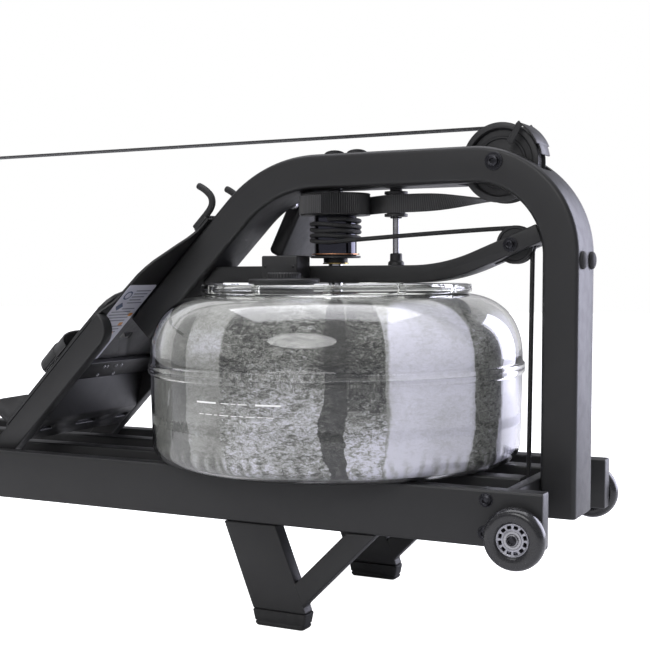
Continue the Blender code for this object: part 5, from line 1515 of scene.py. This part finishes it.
# ---------------------------------------------------------------- transport wheels
def make_wheels():
    half, spokes = 0.012, 12
    tyre = [(0.0201, -0.0086), (0.0222, -half * 0.92)]
    for step in range(25):
        angle = math.pi * step / 24
        side_in = 1.0 if step % 24 else 0.985
        tyre.append((0.0262 + 0.0118 * math.sin(angle) ** 0.62, -half * math.cos(angle) * side_in))
    tyre += [(0.0222, half * 0.92), (0.0201, 0.0086)]
    hub = [(0.0112, -0.0086), (0.0130, -0.0080), (0.0182, -0.0080), (0.0190, -0.0090), (0.0200, -0.0090),
           (0.0200, 0.0090), (0.0190, 0.0090), (0.0182, 0.0080), (0.0130, 0.0080), (0.0112, 0.0086)]
    root = -(WHEEL[1] - RAIL_OUTER_Y) + GAP
    bolt = rounded([(0.0, root), (0.0085, root), (0.0085, -0.0106), (0.0040, -0.0103), (0.0040, 0.0103),
                    (0.0, 0.0103)], 0.0004)
    window = section(0.0042, 0.0056, 0.0010)
    for side, sign in SIDES:
        centre, axis = at(WHEEL[0], sign * WHEEL[1], WHEEL[2]), (0, sign, 0)
        bm = bmesh.new()
        turned_profile(bm, tyre, centre, axis, 96)
        put(f"tyre_{side}", bm, TYRE, f"wheel_{side}", [f"wheel_{side}"])
        bm = bmesh.new()
        turned_profile(bm, rounded(hub, 0.0006, 2), centre, axis, 96)
        rim = finish_mesh(f"hub_{side}", bm, ALUMINIUM)
        for spoke in range(spokes):
            angle = 2 * math.pi * (spoke + 0.5) / spokes
            out = Vector((math.cos(angle), 0, math.sin(angle)))
            along = Vector((-out.z, 0, out.x))
            carve(rim, [[centre + out * (0.0157 + a) + along * b + Vector((0, y, 0)) for a, b in window]
                        for y in (-0.02, 0.02)])
        soften(rim, 0.00035, 2, 50)
        settle(rim, f"wheel_{side}")
        bm = bmesh.new()
        collar(bm, centre, axis, 0.0076, 0.0110, -0.0088, 0.0088, 0.0005, 48)
        collar(bm, centre, axis, 0.0044, 0.0072, -0.0100, 0.0100, 0.0004, 40, 1)
        collar(bm, centre, axis, 0.0068, 0.0080, -0.0082, 0.0082, 0.0, 40, 2)
        put(f"bearing_{side}", bm, [STEEL, STEEL, RUBBER], f"wheel_{side}")
        bm = bmesh.new()
        turned_profile(bm, bolt, centre, axis, 36, material=1)
        washer(bm, centre + Vector((0, sign * 0.0103, 0)), axis, 0.0040, 0.0068, 0.0008, 1)
        button_head(bm, centre + Vector((0, sign * 0.0111, 0)), axis, 0.0062, 0.0034, 0.55)
        put(f"wheel_bolt_{side}", bm, [BLACK_OXIDE, STEEL], "frame", [f"wheel_axle_{side}"])


# ---------------------------------------------------------------- console
def make_monitor():
    pivot = at(-0.441, 0, 0.361)
    tilt = math.radians(63.6)
    along = Vector((math.cos(tilt), 0, math.sin(tilt)))
    face = Vector((-math.sin(tilt), 0, math.cos(tilt)))

    def spot(a, b, y):
        """along the console, out of its screen, and across the machine"""
        return pivot + along * (-0.026 + a) + face * b + Vector((0, 0.052 + y, 0))

    def panel(outline, levels):
        """Rings of an (along, across) outline at some levels out of the screen."""
        return [[spot(a, b, y) for a, y in outline] for b in levels]

    rings = []
    for y, inset in ((0.0, 0.0040), (0.0012, 0.0016), (0.0040, 0.0), (0.0657, 0.0), (0.126, 0.0),
                     (0.1288, 0.0016), (0.130, 0.0040)):
        ring = section(0.112 - 2 * inset, 0.024 - 2 * inset * 0.7, 0.0066 - inset * 0.7, 6)
        rings.append([spot(a, b, y) for a, b in ring])
    bm = bmesh.new()
    bridge(bm, rings)
    case = finish_mesh("console", bm, PLASTIC)
    drill(case, pivot + Vector((0, 0.052, 0)), ACROSS, 0.0053, -0.01, 0.041)
    carve(case, panel(shifted(section(0.062, 0.104, 0.005, 5), 0.014, 0.065), (0.0112, 0.014)))
    soften(case, 0.0004, 2, 50)
    settle(case, "monitor", ["monitor"])
    screen = Look("screen_glass", (0.020, 0.028, 0.026), 0.08, Coat_Weight=0.6, Coat_Roughness=0.03)
    screen.rough(screen.span(screen.noise(60.0, 5.0), 0.4, 0.7, 0.06, 0.14))
    bm = bmesh.new()
    bridge(bm, panel(shifted(section(0.0612, 0.1032, 0.0046, 5), 0.014, 0.065), (0.0113, 0.0116)))
    put("console_screen", bm, screen, "monitor")
    keys = Look("key_rubber", (0.09, 0.09, 0.095), 0.6)
    keys.rough(keys.span(keys.noise(400.0), 0.3, 0.7, 0.52, 0.68))
    bm = bmesh.new()
    for place in range(4):
        rings = []
        for b, inset in ((0.0118, 0.0), (0.0126, 0.0), (0.0131, 0.0006)):
            key = section(0.011 - 2 * inset, 0.019 - 2 * inset, 0.004 - inset, 4)
            rings += panel(shifted(key, -0.038, 0.0245 + 0.027 * place), (b,))
        bridge(bm, rings)
    put("console_keys", bm, keys, "monitor")
    bm = bmesh.new()
    rod = rounded([(0.0, 0.0404), (0.0070, 0.0404), (0.0070, 0.0500), (0.005, 0.0502), (0.005, 0.090),
                   (0.0, 0.090)], 0.0005)
    turned_profile(bm, rod, pivot, ACROSS, 36)
    put("console_arm", bm, STEEL, "frame", ["monitor_arm"])


# ---------------------------------------------------------------- build
for make in (make_rails, make_arch, make_beam, make_legs, make_foot_frame, make_footboard, make_label,
             make_heel_cups, make_foot_straps, make_hooks, make_tank, make_level_marks, make_filler,
             make_sensor, make_paddle, make_drum, make_idler, make_pulleys, make_guard, make_belt, make_cord,
             make_handle, make_cushion, make_carriage, make_wheels, make_monitor):
    make()


# ---------------------------------------------------------------- stage, light and camera
def make_floor():
    look = Look("studio_floor", (0.86, 0.86, 0.88), 0.6, Specular_IOR_Level=0.2)
    look.colour(look.ramp(look.noise(3.0), shades(0.84, 0.88, (1.0, 1.0, 1.01))))
    look.feed((1.0, 1.0, 1.0, 1.0), look.shader.inputs["Emission Color"])
    seen = look.times(look.add("LightPath").outputs["Is Camera Ray"], 1.1)
    look.feed(seen, look.shader.inputs["Emission Strength"])
    bm = bmesh.new()
    half, level = 12, -0.0005
    bm.faces.new([bm.verts.new((x * half, y * half, level)) for x, y in ((-1, -1), (1, -1), (1, 1), (-1, 1))])
    floor = finish_mesh("studio_floor", bm, look)


def make_world():
    """A soft grey room for reflections, and plain white behind everything that the camera sees directly."""
    world = bpy.data.worlds.new("studio")
    bpy.context.scene.world = world
    world.use_nodes = True
    nodes, links = world.node_tree.nodes, world.node_tree.links
    nodes.clear()
    path, place, split, ramp, span, soft, plain, seen, mixed, out = [
        nodes.new("ShaderNode" + kind) for kind in
        ("LightPath", "TexCoord", "SeparateXYZ", "ValToRGB", "MapRange", "Background", "Background", "Math",
         "MixShader", "OutputWorld")]
    elements = ramp.color_ramp.elements
    elements[0].position, elements[0].color = 0.0, (0.22, 0.22, 0.24, 1.0)
    elements[1].position, elements[1].color = 1.0, (0.95, 0.95, 1.0, 1.0)
    elements.new(0.55).color = (0.62, 0.62, 0.66, 1.0)
    span.inputs["From Min"].default_value = -1.0
    soft.inputs["Strength"].default_value = 0.50
    plain.inputs["Color"].default_value = (1.0, 1.0, 1.0, 1.0)
    seen.operation = "MAXIMUM"
    for source, socket in (
            (place.outputs["Generated"], split.inputs["Vector"]), (split.outputs["Z"], span.inputs["Value"]),
            (span.outputs["Result"], ramp.inputs["Fac"]), (ramp.outputs["Color"], soft.inputs["Color"]),
            (path.outputs["Is Camera Ray"], seen.inputs[0]),
            (path.outputs["Is Transmission Ray"], seen.inputs[1]),
            (seen.outputs["Value"], mixed.inputs[0]), (soft.outputs["Background"], mixed.inputs[1]),
            (plain.outputs["Background"], mixed.inputs[2]), (mixed.outputs["Shader"], out.inputs["Surface"])):
        links.new(source, socket)


def make_lights():
    make_world()
    for name, place, goal, size, power, colour in (
            ("side", (2.7, 2.6, 0.9), (0.9, 0.0, 0.35), (2.4, 2.4), 90.0, (0.82, 0.82, 1.0)),
            ("left", (-0.75, -1.7, 0.8), (0.05, -0.13, 0.3), (0.9, 0.9), 15.0, (1.0, 0.99, 0.97)),
            ("front", (0.9, -3.2, 2.4), (0.6, 0.0, 0.2), (2.6, 1.6), 36.0, (1.0, 1.0, 1.0)),
            ("top", (0.4, 0.3, 3.0), (0.5, 0.0, 0.3), (3.2, 2.2), 60.0, (0.95, 0.95, 1.0))):
        data = bpy.data.lights.new(name, "AREA")
        data.shape = "ELLIPSE" if name == "front" else "RECTANGLE"
        data.size, data.size_y = size
        data.energy = power
        data.color = colour
        lamp = bpy.data.objects.new(name, data)
        bpy.context.scene.collection.objects.link(lamp)
        lamp.visible_glossy = lamp.visible_transmission = name != "left"
        lamp.location = place
        lamp.rotation_euler = (Vector(goal) - Vector(place)).to_track_quat("-Z", "Y").to_euler()


def make_camera():
    yaw, pitch, roll = -0.4752, -0.0803, -0.0046
    forward = Vector((math.sin(yaw) * math.cos(pitch), math.cos(yaw) * math.cos(pitch), math.sin(pitch)))
    right = Vector((math.cos(yaw), -math.sin(yaw), 0.0))
    up = right.cross(forward)
    turned_right = right * math.cos(roll) + up * math.sin(roll)
    turned_up = up * math.cos(roll) - right * math.sin(roll)
    data = bpy.data.cameras.new("camera")
    data.lens = 67.47
    data.sensor_width = 36.0
    data.shift_x, data.shift_y = 0.0134, 0.0706
    camera = bpy.data.objects.new("camera", data)
    bpy.context.scene.collection.objects.link(camera)
    axes = Matrix((turned_right, turned_up, -forward)).transposed().to_4x4()
    camera.matrix_world = Matrix.Translation((1.4221, -1.5402, 0.4677)) @ axes
    bpy.context.scene.camera = camera
    bpy.context.scene.view_settings.view_transform = "Standard"


make_floor()
make_lights()
make_camera()
